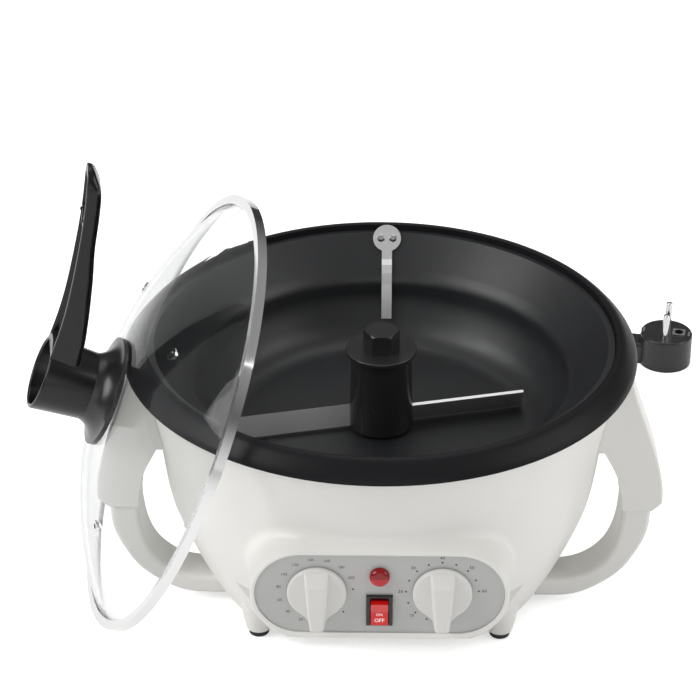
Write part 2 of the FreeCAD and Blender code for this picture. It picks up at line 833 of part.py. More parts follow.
def build_arm(turn):
    """Bent stainless blade that sweeps the pan floor."""
    blade = box(HUB_R - 3, ARM_R, -ARM_T / 2, ARM_T / 2, ARM_Z, ARM_Z + ARM_H)
    blade.rotate(V(0, 0, ARM_Z), V(1, 0, 0), ARM_TILT)
    blade = blade.cut(cone(HUB_R + HUB_FLARE, HUB_R, HUB_BOTTOM, HUB_TOP))
    keep = cyl(ARM_R - 1, PAN_FLOOR + 1.2, FAR)
    blade = blade.common(keep)
    blade.rotate(V(0, 0, 0), V(0, 0, 1), turn + ARM_SWEEP)
    return blade


# --------------------------------------------------------------------- baffle
def baffle_frame():
    """Centre, outward normal and down-slope direction of the baffle's head."""
    start_r, start_z = PAN_WALL[-1]
    centre = V(BAFFLE_X, start_r + BAFFLE_HEAD_UP, start_z + BAFFLE_HEAD_UP)
    half = math.sqrt(0.5)
    return centre, V(0, -half, half)


def build_baffle():
    """Stainless strip that hangs from the pan's rear rim."""
    centre, normal = baffle_frame()
    back = centre + normal * BAFFLE_GAP
    head = Part.makeCylinder(BAFFLE_HEAD_R, BAFFLE_T, back, normal)
    outline = BAFFLE_PATH + shifted(BAFFLE_PATH, -BAFFLE_T)[::-1]
    x0 = BAFFLE_X - BAFFLE_W / 2
    strip = polygon([V(x0, y, z) for y, z in outline]).extrude(V(BAFFLE_W, 0, 0))
    baffle = head.fuse(strip).removeSplitter()
    for side in (-1, 1):
        baffle = baffle.cut(rivet_shank(side, RIVET_R + RUN))
    return baffle


def rivet_shank(side, radius):
    """Cylinder through the baffle's head and the pan wall."""
    centre, normal = baffle_frame()
    start = centre + V(side * RIVET_PITCH / 2, 0, 0) - normal * (PAN_T + 1.0)
    return Part.makeCylinder(radius, PAN_T + 1.0 + BAFFLE_GAP + BAFFLE_T, start, normal)


def build_rivet(side):
    """Dome-headed rivet through the baffle and the pan wall."""
    centre, normal = baffle_frame()
    axis = centre + V(side * RIVET_PITCH / 2, 0, 0)
    seat = axis + normal * (BAFFLE_GAP + BAFFLE_T)
    head = Part.makeCone(RIVET_HEAD_R, RIVET_HEAD_R * 0.6, 1.1, seat, normal)
    return head.fuse(rivet_shank(side, RIVET_R)).removeSplitter()


# ------------------------------------------------------------------- controls
def plate_front():
    """Y of the control plate's face."""
    return POD_FRONT + PLATE_RECESS


def build_plate():
    """Grey control plate with its openings."""
    front = plate_front()
    back = front + PLATE_T
    plate = stadium_block(PLATE_W, PLATE_H, front, back, PLATE_Z)
    for x in (-KNOB_X, KNOB_X):
        plate = plate.cut(cyl_y(KNOB_SHAFT_R + FREE, front, back, x, KNOB_Z))
    plate = plate.cut(cyl_y(LAMP_R - 0.7, front, back, 0, LAMP_Z))
    w, h = SWITCH_BODY
    hole = box(-w / 2 - SEAT, w / 2 + SEAT, front, back, SWITCH_Z - h / 2 - SEAT, SWITCH_Z + h / 2 + SEAT)
    return plate.cut(hole)


def control_bore(body, x):
    """Running bore for a knob's shaft."""
    front = plate_front() + PLATE_T
    return body.cut(cyl_y(KNOB_SHAFT_R + RUN, front, front + SHAFT_DEPTH + 1, x, KNOB_Z))


def build_thermostat():
    """Round thermostat behind the plate."""
    front = plate_front() + PLATE_T
    return control_bore(cyl_y(STAT_R, front, front + BODY_DEPTH, -KNOB_X, KNOB_Z), -KNOB_X)


def build_timer():
    """Clockwork timer case behind the plate."""
    front = plate_front() + PLATE_T
    x0 = KNOB_X - TIMER_W / 2
    z0 = KNOB_Z - TIMER_H / 2
    case = box(x0, x0 + TIMER_W, front, front + BODY_DEPTH, z0, z0 + TIMER_H)
    return control_bore(case, KNOB_X)


def build_knob_shaft(x):
    """Steel spindle from the knob into its control."""
    front = plate_front()
    return cyl_y(KNOB_SHAFT_R, front - FREE, front + PLATE_T + SHAFT_DEPTH, x, KNOB_Z)


def build_knob(x):
    """Round skirt with a bar grip that tapers to its pointer end."""
    back = plate_front() - FREE
    front = back - SKIRT_DEPTH
    skirt = cyl_y(KNOB_R, front, back, x, KNOB_Z)
    skirt = skirt.makeFillet(SKIRT_EDGE, [e for e in skirt.Edges if abs(e.BoundBox.YMax - front) < 0.01])
    half = GRIP_W / 2
    tip = GRIP_TIP_W / 2
    outline = [
        V(x - half, front, KNOB_Z + GRIP_TOP),
        V(x + half, front, KNOB_Z + GRIP_TOP),
        V(x + half, front, KNOB_Z - GRIP_WAIST),
        V(x + tip, front, KNOB_Z - GRIP_REACH),
        V(x - tip, front, KNOB_Z - GRIP_REACH),
        V(x - half, front, KNOB_Z - GRIP_WAIST),
    ]
    grip = polygon(outline).extrude(V(0, -(GRIP_DEPTH - SKIRT_DEPTH), 0))
    face = front - (GRIP_DEPTH - SKIRT_DEPTH)
    grip = grip.makeFillet(1.4, [e for e in grip.Edges if abs(e.BoundBox.YMax - face) < 0.01])
    foot = polygon(outline).extrude(V(0, SKIRT_DEPTH / 2, 0))
    return skirt.fuse(grip).fuse(foot).removeSplitter()


def build_lamp():
    """Red indicator lens with its tail through the plate."""
    front = plate_front()
    tip = front - LAMP_RIM - LAMP_DOME
    tail = cyl_y(LAMP_R - 0.8, front, front + LAMP_TAIL, 0, LAMP_Z)
    lens = cyl_y(LAMP_R, tip, front, 0, LAMP_Z)
    tips = [e for e in lens.Edges if abs(e.BoundBox.YMax - tip) < 0.01]
    lens = lens.makeFillet(LAMP_DOME, tips)
    return tail.fuse(lens).removeSplitter()


def build_switch():
    """Black switch case with a flange and a well for the rocker."""
    front = plate_front()
    w, h = SWITCH_BODY
    flange = box(-SWITCH_W / 2, SWITCH_W / 2, front - SWITCH_FLANGE, front, 0, SWITCH_H)
    flange.translate(V(0, 0, SWITCH_Z - SWITCH_H / 2))
    face = front - SWITCH_FLANGE
    flange = flange.makeFillet(0.6, [e for e in flange.Edges if abs(e.BoundBox.YMax - face) < 0.01])
    case = box(-w / 2, w / 2, front, front + SWITCH_DEPTH, SWITCH_Z - h / 2, SWITCH_Z + h / 2)
    well_w = ROCKER_W + 2 * FREE
    well_h = ROCKER_H + 2 * FREE + 0.6
    well = box(-well_w / 2, well_w / 2, front - 3, front + 6.5, 0, well_h)
    well.translate(V(0, 0, SWITCH_Z - well_h / 2))
    case = flange.fuse(case).cut(well).removeSplitter()
    return case.cut(rocker_pivot(PIVOT_R + RUN))


def rocker_pivot(radius):
    """Cylinder on the rocker's axis."""
    reach = SWITCH_BODY[0] / 2 - SEAT
    y = plate_front() - SWITCH_FLANGE + PIVOT_DEPTH
    return Part.makeCylinder(radius, 2 * reach, V(-reach, y, SWITCH_Z), V(1, 0, 0))


def build_rocker():
    """Red rocker, tipped to its off position."""
    front = plate_front() - SWITCH_FLANGE
    half = ROCKER_H / 2
    profile = [
        V(-ROCKER_W / 2, front + 4.2, SWITCH_Z - half + 1.2),
        V(-ROCKER_W / 2, front - ROCKER_PROUD, SWITCH_Z - half),
        V(-ROCKER_W / 2, front - 0.4, SWITCH_Z),
        V(-ROCKER_W / 2, front - ROCKER_PROUD, SWITCH_Z + half),
        V(-ROCKER_W / 2, front + 4.2, SWITCH_Z + half - 1.2),
    ]
    rocker = polygon(profile).extrude(V(ROCKER_W, 0, 0))
    rocker.rotate(V(0, front + PIVOT_DEPTH, SWITCH_Z), V(1, 0, 0), ROCKER_TILT)
    return rocker.fuse(rocker_pivot(PIVOT_R)).removeSplitter()


def build_block():
    """Terminal block on the base tray."""
    x, y = BLOCK_POS
    lx, ly, lz = BLOCK
    return box(x - lx / 2, x + lx / 2, y - ly / 2, y + ly / 2, BASE_Z, BASE_Z + lz)


# ------------------------------------------------------------------------- lid
def dome_radius():
    """Radius of the ball whose cap is the glass dome."""
    return (DOME_R ** 2 + DOME_H ** 2) / (2 * DOME_H)


def lid_placement():
    """Matrix that stands the lid on the worktop and leans it on the collar's shoulder."""
    a = math.radians(LID_AZIMUTH)
    b = math.radians(LID_LEAN)
    n = V(-math.cos(b) * math.cos(a), -math.cos(b) * math.sin(a), math.sin(b))
    up = (V(0, 0, 1) - n * n.z).normalize()
    side = n.cross(up)
    share_in, share_down = COLLAR_SLOPE[-2]
    rest_r = COLLAR_R - share_in * (COLLAR_R - CREST_R)
    rest_z = CREST_Z - share_down * (CREST_Z - HOUSING_TOP - COLLAR_LIP)
    depth = dome_radius() - DOME_H
    ball_z = LID_R * up.z + BAND_H * n.z + SEAT - n.z * depth
    reach = dome_radius() - GLASS_T - LID_REST_GAP
    away = math.sqrt(reach ** 2 - (rest_z - ball_z) ** 2) - rest_r
    turn = math.radians(LID_REST_TURN)
    x, y, z = V(away * math.cos(turn), away * math.sin(turn), ball_z) + n * depth
    print("lid centre", round(x, 3), round(y, 3), round(z, 3))
    return FreeCAD.Matrix(up.x, side.x, n.x, x, up.y, side.y, n.y, y, up.z, side.z, n.z, z, 0, 0, 0, 1)


def placed(shape):
    """Shape moved from the lid's own frame to its leaning place."""
    return shape.transformed(lid_placement())


def dome_ball(offset):
    """Ball whose upper cap is the dome's surface less an offset."""
    return Part.makeSphere(dome_radius() - offset, V(0, 0, DOME_H - dome_radius()))


def vent_points():
    """Centres of the steam eyelets on the dome's surface."""
    radius = dome_radius()
    centre = V(0, 0, DOME_H - radius)
    found = []
    for angle, name in VENTS:
        a = math.radians(angle)
        z = math.sqrt(radius ** 2 - VENT_RING ** 2)
        ray = V(VENT_RING * math.cos(a), VENT_RING * math.sin(a), z).normalize()
        found.append((name, centre + ray * radius, ray))
    return found


def build_glass():
    """Tempered glass dome with a flat edge and holes."""
    cap = dome_ball(0).cut(dome_ball(GLASS_T))
    cap = cap.common(cyl(DOME_R + 1, 0, DOME_H + 1))
    edge_r = LID_R - BAND_T - SEAT
    flange = cyl(edge_r, -GLASS_T, 0).cut(cyl(DOME_R - 12, -GLASS_T, 0))
    inner = dome_ball(GLASS_T)
    glass = cap.fuse(flange.cut(inner)).removeSplitter()
    glass = glass.cut(cyl(LID_SCREW_R / 2 + 0.5, 0, DOME_H + 5))
    for _, point, ray in vent_points():
        glass = glass.cut(Part.makeCylinder(VENT_R - 0.6, 12, point - ray * 6, ray))
    return glass


def build_band():
    """Polished band rolled round the glass edge."""
    r = LID_R
    profile = [
        (r - BAND_LIP + 1, -BAND_H),
        (r, -BAND_H),
        (r, BAND_T),
        (r - BAND_LIP, BAND_T),
        (r - BAND_LIP, 0.0),
        (r - BAND_T, 0.0),
        (r - BAND_T, BAND_T - BAND_H),
        (r - BAND_LIP + 1, BAND_T - BAND_H),
    ]
    ring = polygon(rz(profile)).revolve(V(0, 0, 0), V(0, 0, 1), 360.0)
    return ring


def build_vent(point, ray):
    """Eyelet clinched through the glass."""
    shank = Part.makeCylinder(VENT_R - 0.6, GLASS_T, point - ray * GLASS_T, ray)
    head = Part.makeCylinder(VENT_R + 0.8, 0.7, point + ray * 0.03, ray)
    neck = Part.makeCylinder(VENT_R - 0.6, 0.3, point - ray * 0.1, ray)
    eyelet = shank.fuse(neck).fuse(head).removeSplitter()
    return eyelet.cut(Part.makeCylinder(VENT_HOLE_R, 10, point - ray * 5, ray))


def build_handle_base():
    """Flared foot of the lid's handle, fitted to the dome."""
    profile = rz([(r, DOME_H + h) for r, h in BASE_CURVE])
    low = DOME_H - BASE_H
    edges = [
        spline(profile),
        line(profile[-1], V(0, 0, BASE_NECK_Z)),
        line(V(0, 0, BASE_NECK_Z), V(0, 0, low)),
        line(V(0, 0, low), V(BASE_FLARE_R, 0, low)),
        line(V(BASE_FLARE_R, 0, low), profile[0]),
    ]
    foot = revolve(edges).cut(dome_ball(0))
    return foot.cut(cyl(LID_SCREW_R / 2, 0, BASE_NECK_Z))


def arm_side():
    """Side view of the lid's arm as a face in the XZ plane."""
    top = rz([(x, DOME_H + h) for x, h in ARM_TOP])
    under = rz([(x, DOME_H + h) for x, h in ARM_UNDER])
    tip = Part.Arc(top[-1], (top[-1] + under[0]) * 0.5 + V(ARM_TIP_ROUND, 0, 0), under[0]).toShape()
    return Part.Face(Part.Wire([spline(top), tip, spline(under), line(under[-1], top[0])]))


def arm_plan(width, tip_width, start, end):
    """Upright block with the arm's tapered outline and a rounded end."""
    near = width / 2
    far = tip_width / 2
    corners = [V(end - far, far, 0), V(start, near, 0), V(start, -near, 0), V(end - far, -far, 0)]
    edges = [line(corners[i], corners[i + 1]) for i in range(len(corners) - 1)]
    edges.append(Part.Arc(corners[-1], V(end, 0, 0), corners[0]).toShape())
    return Part.Face(Part.Wire(edges)).extrude(V(0, 0, FAR))


def arm_hollow(start, end, width, depth):
    """Rounded-ended hollow that follows the arm's outer face."""
    side = arm_side()
    side.translate(V(0, -ARM_WIDTH, -depth))
    below = side.extrude(V(0, 2 * ARM_WIDTH, 0))
    above = box(start, end, -width, width, CUP_FLOOR, FAR)
    return arm_plan(width, width, start, end).common(above).cut(below)


def build_lid_handle():
    """Open cup and long arm of the lid's handle, hollowed along the outer face."""
    cup = cone(BASE_NECK_R, CUP_R, BASE_NECK_Z, CUP_TOP)
    side = arm_side()
    side.translate(V(0, -ARM_WIDTH, 0))
    arm = side.extrude(V(0, 2 * ARM_WIDTH, 0))
    arm = arm.common(arm_plan(ARM_WIDTH, ARM_TIP_WIDTH, 0, ARM_TOP[-1][0] + ARM_TIP_ROUND))
    body = cup.fuse(arm).removeSplitter()
    inner = CUP_R - CUP_WALL
    body = body.cut(cone(inner - CUP_WALL / 2, inner, CUP_FLOOR, CUP_TOP))
    body = body.cut(cyl(inner, CUP_TOP, FAR))
    for hollow in (CHANNEL, THUMB_SCOOP):
        body = body.cut(arm_hollow(*hollow))
    return body.cut(cyl(LID_SCREW_R / 2, BASE_NECK_Z, BASE_NECK_Z + LID_SCREW_IN))


def build_lid_screw():
    """Screw that holds the handle through the glass."""
    inside = DOME_H - GLASS_T
    shank = cyl(LID_SCREW_R / 2, inside - 1.0, BASE_NECK_Z + LID_SCREW_IN)
    head = cyl(LID_SCREW_R, inside - LID_HEAD_H, inside - RUN)
    return shank.fuse(head).removeSplitter()


# ------------------------------------------------------------------------ cord
def build_gland(outside):
    """Strain relief in the shell's rear wall."""
    body = Part.makeCone(GLAND_R, GLAND_TIP_R, GLAND_L, V(0, GLAND_SEAT, GLAND_Z), V(0, 1, 0))
    neck = cyl_y(GLAND_R, GLAND_SEAT - GLAND_NECK, GLAND_SEAT, 0, GLAND_Z)
    flange = cyl_y(GLAND_FLANGE_R, GLAND_SEAT - GLAND_NECK, GLAND_SEAT + GLAND_FLANGE_T, 0, GLAND_Z)
    flange = flange.cut(outside)
    return body.fuse(neck).fuse(flange).removeSplitter()


def build_coil():
    """Tied bundle of the spare cord, as one closed ring."""
    inner = COIL_R - COIL_HALF
    outer = COIL_R + COIL_HALF
    ring = cyl(outer, 0, COIL_H, COIL_X, COIL_Y).cut(cyl(inner, 0, COIL_H, COIL_X, COIL_Y))
    return ring.makeFillet(COIL_HALF * 0.6, round_edges(ring))


def round_edges(ring):
    """Circular edges at the top of a ring."""
    return [e for e in ring.Edges if e.BoundBox.ZLength < 0.01 and e.BoundBox.ZMin > 1]


def build_tie():
    """Strap round the bundle at its front."""
    y0 = COIL_Y - COIL_R - COIL_HALF
    y1 = COIL_Y - COIL_R + COIL_HALF
    x0 = COIL_X - TIE_W / 2
    x1 = COIL_X + TIE_W / 2
    strap = box(x0, x1, y0 - TIE_T, y1 + TIE_T, 0, COIL_H + TIE_T)
    return strap


def plug_direction():
    """Unit vector from the plug back along its cord."""
    a = math.radians(PLUG_TURN)
    return V(-math.cos(a), math.sin(a), 0)


def tail_route():
    """Points from the bundle to the plug's strain relief."""
    way = plug_direction()
    end = V(PLUG_X, PLUG_Y, PLUG_ENTRY_Z) + way * RELIEF_END
    level = end + way * 16
    near = end + way * 50 + V(0, 0, CORD_R + SEAT - PLUG_ENTRY_Z)
    return [
        (COIL_X + 1, COIL_Y + COIL_R, COIL_H / 2),
        (COIL_X + 30, COIL_Y + COIL_R + 1.5, 5.0),
        (near.x, near.y, near.z),
        (level.x, level.y, level.z),
        (end.x, end.y, end.z),
    ]


def plug_local(shape):
    """Shape moved from the plug's own frame to its place."""
    shape.rotate(V(0, 0, 0), V(0, 0, 1), -PLUG_TURN)
    shape.translate(V(PLUG_X, PLUG_Y, 0))
    return shape


def build_plug():
    """Angled plug lying on its back, with a ribbed strain relief."""
    body = cyl(PLUG_R, 0, PLUG_H)
    body = body.makeFillet(2.0, round_edges(body))
    for side in (-1, 1):
        edge = side * PLUG_R
        deep = edge - side * 3.2
        groove = box(min(edge, deep), max(edge, deep), -CLIP_W / 2, CLIP_W / 2, 5, 40)
        body = body.cut(groove)
    shoulder = box(-PLUG_R - 9, -2, -9, 9, 0, 15.5)
    shoulder = shoulder.makeFillet(2.5, [e for e in shoulder.Edges if e.BoundBox.ZMin > 1])
    body = body.fuse(shoulder.cut(box(-PLUG_R - 0.1, 0, -CLIP_W / 2, CLIP_W / 2, 5, 40)))
    start = V(-RELIEF_START, 0, PLUG_ENTRY_Z)
    cone_body = Part.makeCone(RELIEF_R, CORD_R + 0.9, RELIEF_END - RELIEF_START, start, V(-1, 0, 0))
    cone_body = cone_body.cut(box(-PLUG_R - 0.1, 0, -CLIP_W / 2, CLIP_W / 2, 5, 40))
    body = body.fuse(cone_body)
    first = PLUG_R + 11
    pitch = (RELIEF_END - 3 - first) / (RELIEF_RIBS - 1)
    for index in range(RELIEF_RIBS):
        x = first + index * pitch
        radius = 7.2 - 0.3 * index
        rib = Part.makeCylinder(radius, 2.6, V(-x, 0, PLUG_ENTRY_Z), V(-1, 0, 0))
        body = body.fuse(rib)
    body = body.cut(cyl(CONTACT / 2 - 1.4, PLUG_H - 10, PLUG_H + 1, 9.0, 0))
    return plug_local(body.removeSplitter())


def build_pin(side):
    """One round contact pin."""
    pin = cyl(PIN_R, PLUG_H, PLUG_H + PIN_L, 0, side * PIN_PITCH / 2)
    top = [e for e in pin.Edges if e.BoundBox.ZMin > PLUG_H + PIN_L - 0.01]
    return plug_local(pin.makeFillet(1.5, top))


def build_clip(side):
    """Side earth contact in its groove."""
    back = side * (PLUG_R - 3.2)
    front = back + side * CLIP_T
    clip = box(min(back, front), max(back, front), -CLIP_W / 2 + 0.3, CLIP_W / 2 - 0.3, 5, PLUG_H)
    return plug_local(clip)


def build_contact():
    """Square earth contact with its hole."""
    half = CONTACT / 2
    plate = box(9 - half, 9 + half, -half, half, PLUG_H, PLUG_H + 0.8)
    return plug_local(plate.cut(cyl(half - 1.4, PLUG_H, PLUG_H + 1, 9.0, 0)))


# ------------------------------------------------------------------------ main
def main():
    """Build and write every piece."""
    outside = housing_outside()
    save(build_housing(outside), "housing")
    save(build_base(), "base_tray")
    for name, x, y in (("fl", -1, -1), ("fr", 1, -1), ("rl", -1, 1), ("rr", 1, 1)):
        save(build_foot(x * LEG_X, y * LEG_Y), "foot_" + name)
    handle = build_handle(outside)
    cap = build_handle_cap(outside)
    save(handle, "handle_right")
    save(cap, "handle_cap_right")
    save(mirror_x(handle), "handle_left")
    save(mirror_x(cap), "handle_cap_left")
    save(build_collar(), "collar")
    save(build_pan(), "roasting_pan")
    save(build_bush(), "shaft_bush")
    save(build_reflector(), "heat_reflector")
    save(build_element(), "heating_element")
    save(build_cutout(), "thermal_cutout")
    save(build_bracket(), "motor_bridge")
    save(build_gearbox(), "gear_case")
    save(build_motor(), "motor")
    save(build_shaft(), "drive_shaft")
    save(build_hub(), "stirrer_hub")
    save(build_disc(), "stirrer_disc")
    save(build_hex_cap(), "hex_cap")
    save(build_arm(0), "stirrer_arm_a")
    save(build_arm(180), "stirrer_arm_b")
    save(build_baffle(), "bean_baffle")
    save(build_rivet(-1), "baffle_rivet_left")
    save(build_rivet(1), "baffle_rivet_right")
    save(build_plate(), "control_plate")
    save(build_thermostat(), "thermostat")
    save(build_timer(), "timer")
    save(build_knob_shaft(-KNOB_X), "thermostat_spindle")
    save(build_knob_shaft(KNOB_X), "timer_spindle")
    save(build_knob(-KNOB_X), "thermostat_knob")
    save(build_knob(KNOB_X), "timer_knob")
    save(build_lamp(), "lamp")
    save(build_switch(), "switch_case")
    save(build_rocker(), "rocker")
    save(build_block(), "terminal_block")
    save(placed(build_glass()), "lid_glass")
    save(placed(build_band()), "lid_band")
    for name, point, ray in vent_points():
        save(placed(build_vent(point, ray)), "lid_vent_" + name)
    save(placed(build_handle_base()), "lid_handle_base")
    save(placed(build_lid_handle()), "lid_handle")
    save(placed(build_lid_screw()), "lid_screw")
    save(build_gland(outside), "cord_gland")
    coil = build_coil()
    save(tube(LEAD_ROUTE, CORD_R).cut(coil), "cord_lead")
    save(tube(tail_route(), CORD_R).cut(coil), "cord_tail")
    save(coil, "cord_coil")
    save(build_tie().cut(coil), "cord_tie")
    save(build_plug(), "plug_body")
    save(build_pin(-1), "plug_pin_left")
    save(build_pin(1), "plug_pin_right")
    save(build_clip(-1), "earth_clip_inner")
    save(build_clip(1), "earth_clip_outer")
    save(build_contact(), "earth_contact")


main()
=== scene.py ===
"""Looks of a home coffee bean roaster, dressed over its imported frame.

Units are metres, +Z is up and the control pod faces -Y.  Rigid nodes keep
their shape and get a finish; the cord, the knobs, the prints on the plate
and on the key, and the grip of the lid are modelled here.
"""

import functools
import json
import logging
import math
from dataclasses import dataclass, field
from enum import Enum
from typing import Any, Iterable, Sequence

import bmesh
import bpy
from mathutils import Matrix, Vector

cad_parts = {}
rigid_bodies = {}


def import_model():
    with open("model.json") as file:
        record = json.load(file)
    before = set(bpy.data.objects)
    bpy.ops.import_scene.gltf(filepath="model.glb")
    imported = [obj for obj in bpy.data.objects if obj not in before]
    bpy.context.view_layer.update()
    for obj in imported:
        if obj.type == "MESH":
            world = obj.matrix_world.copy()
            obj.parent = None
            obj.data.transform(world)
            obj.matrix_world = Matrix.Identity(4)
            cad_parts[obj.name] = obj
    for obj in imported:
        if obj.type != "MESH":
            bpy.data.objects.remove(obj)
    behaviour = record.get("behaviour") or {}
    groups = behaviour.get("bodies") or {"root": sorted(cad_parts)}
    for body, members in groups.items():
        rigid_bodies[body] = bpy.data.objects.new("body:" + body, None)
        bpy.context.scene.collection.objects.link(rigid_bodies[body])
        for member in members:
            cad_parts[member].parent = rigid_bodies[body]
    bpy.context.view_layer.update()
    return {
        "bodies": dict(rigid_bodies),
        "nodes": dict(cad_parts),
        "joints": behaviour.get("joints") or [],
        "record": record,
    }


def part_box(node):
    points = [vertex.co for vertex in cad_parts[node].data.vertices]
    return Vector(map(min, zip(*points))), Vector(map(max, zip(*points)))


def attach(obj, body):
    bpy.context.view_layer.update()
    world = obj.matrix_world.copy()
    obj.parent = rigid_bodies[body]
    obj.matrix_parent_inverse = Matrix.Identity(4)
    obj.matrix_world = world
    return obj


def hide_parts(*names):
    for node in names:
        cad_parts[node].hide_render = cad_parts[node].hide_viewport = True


Colour = tuple[float, float, float, float]
Operand = Any
Outline = Sequence[tuple[float, float]]
Skin = tuple[list[Vector], list[list[int]]]

LOG = logging.getLogger("roaster")
MM = 0.001
WHITE: Colour = (1.0, 1.0, 1.0, 1.0)
# points closer than this are merged, and arm sections closer than this are left out
DOUBLE, NEAREST = 1e-7, 8e-5
# radius that the cup's caps are left with at its axis
POLE = 0.0001
# font size over the height of a capital
TYPE_SIZE = 1.38
# sockets of a Mix node that mixes colours
MIX_SHARE, MIX_FIRST, MIX_SECOND, MIX_RESULT = 0, 6, 7, 2


class Body(Enum):
    """Bodies that the pieces made here ride on."""

    ROASTER = "roaster"
    THERMOSTAT = "thermostat_dial"
    TIMER = "timer_dial"
    ROCKER = "power_rocker"
    LID = "lid"


# --------------------------------------------------------------- shader maths
class Value:
    """A shader output that Python's operators act on."""

    def __init__(self, sheet: "Sheet", socket: bpy.types.NodeSocket) -> None:
        """Keep the socket and the sheet that new nodes go to."""
        self.sheet = sheet
        self.socket = socket

    def __add__(self, other: Operand) -> "Value":
        """Sum."""
        return self.sheet.math("ADD", self, other)

    def __sub__(self, other: Operand) -> "Value":
        """Difference."""
        return self.sheet.math("SUBTRACT", self, other)

    def __rsub__(self, other: Operand) -> "Value":
        """Difference from a number."""
        return self.sheet.math("SUBTRACT", other, self)

    def __mul__(self, other: Operand) -> "Value":
        """Product."""
        return self.sheet.math("MULTIPLY", self, other)

    def __pow__(self, other: Operand) -> "Value":
        """Power."""
        return self.sheet.math("POWER", self, other)

    __radd__ = __add__
    __rmul__ = __mul__

    def between(self, low: float, high: float) -> "Value":
        """Smooth step of the value.

        Args:
            low: Level up to which the step is 0.
            high: Level from which it is 1.

        Returns:
            The step.
        """
        sockets = {"Value": self, "From Min": low, "From Max": high}
        made = self.sheet.node("ShaderNodeMapRange", {"interpolation_type": "SMOOTHSTEP"}, sockets)
        return self.sheet.value(made, "Result")

    def swing(self, reach: float) -> "Value":
        """Change about the middle, half the reach each way."""
        return (self - 0.5) * reach


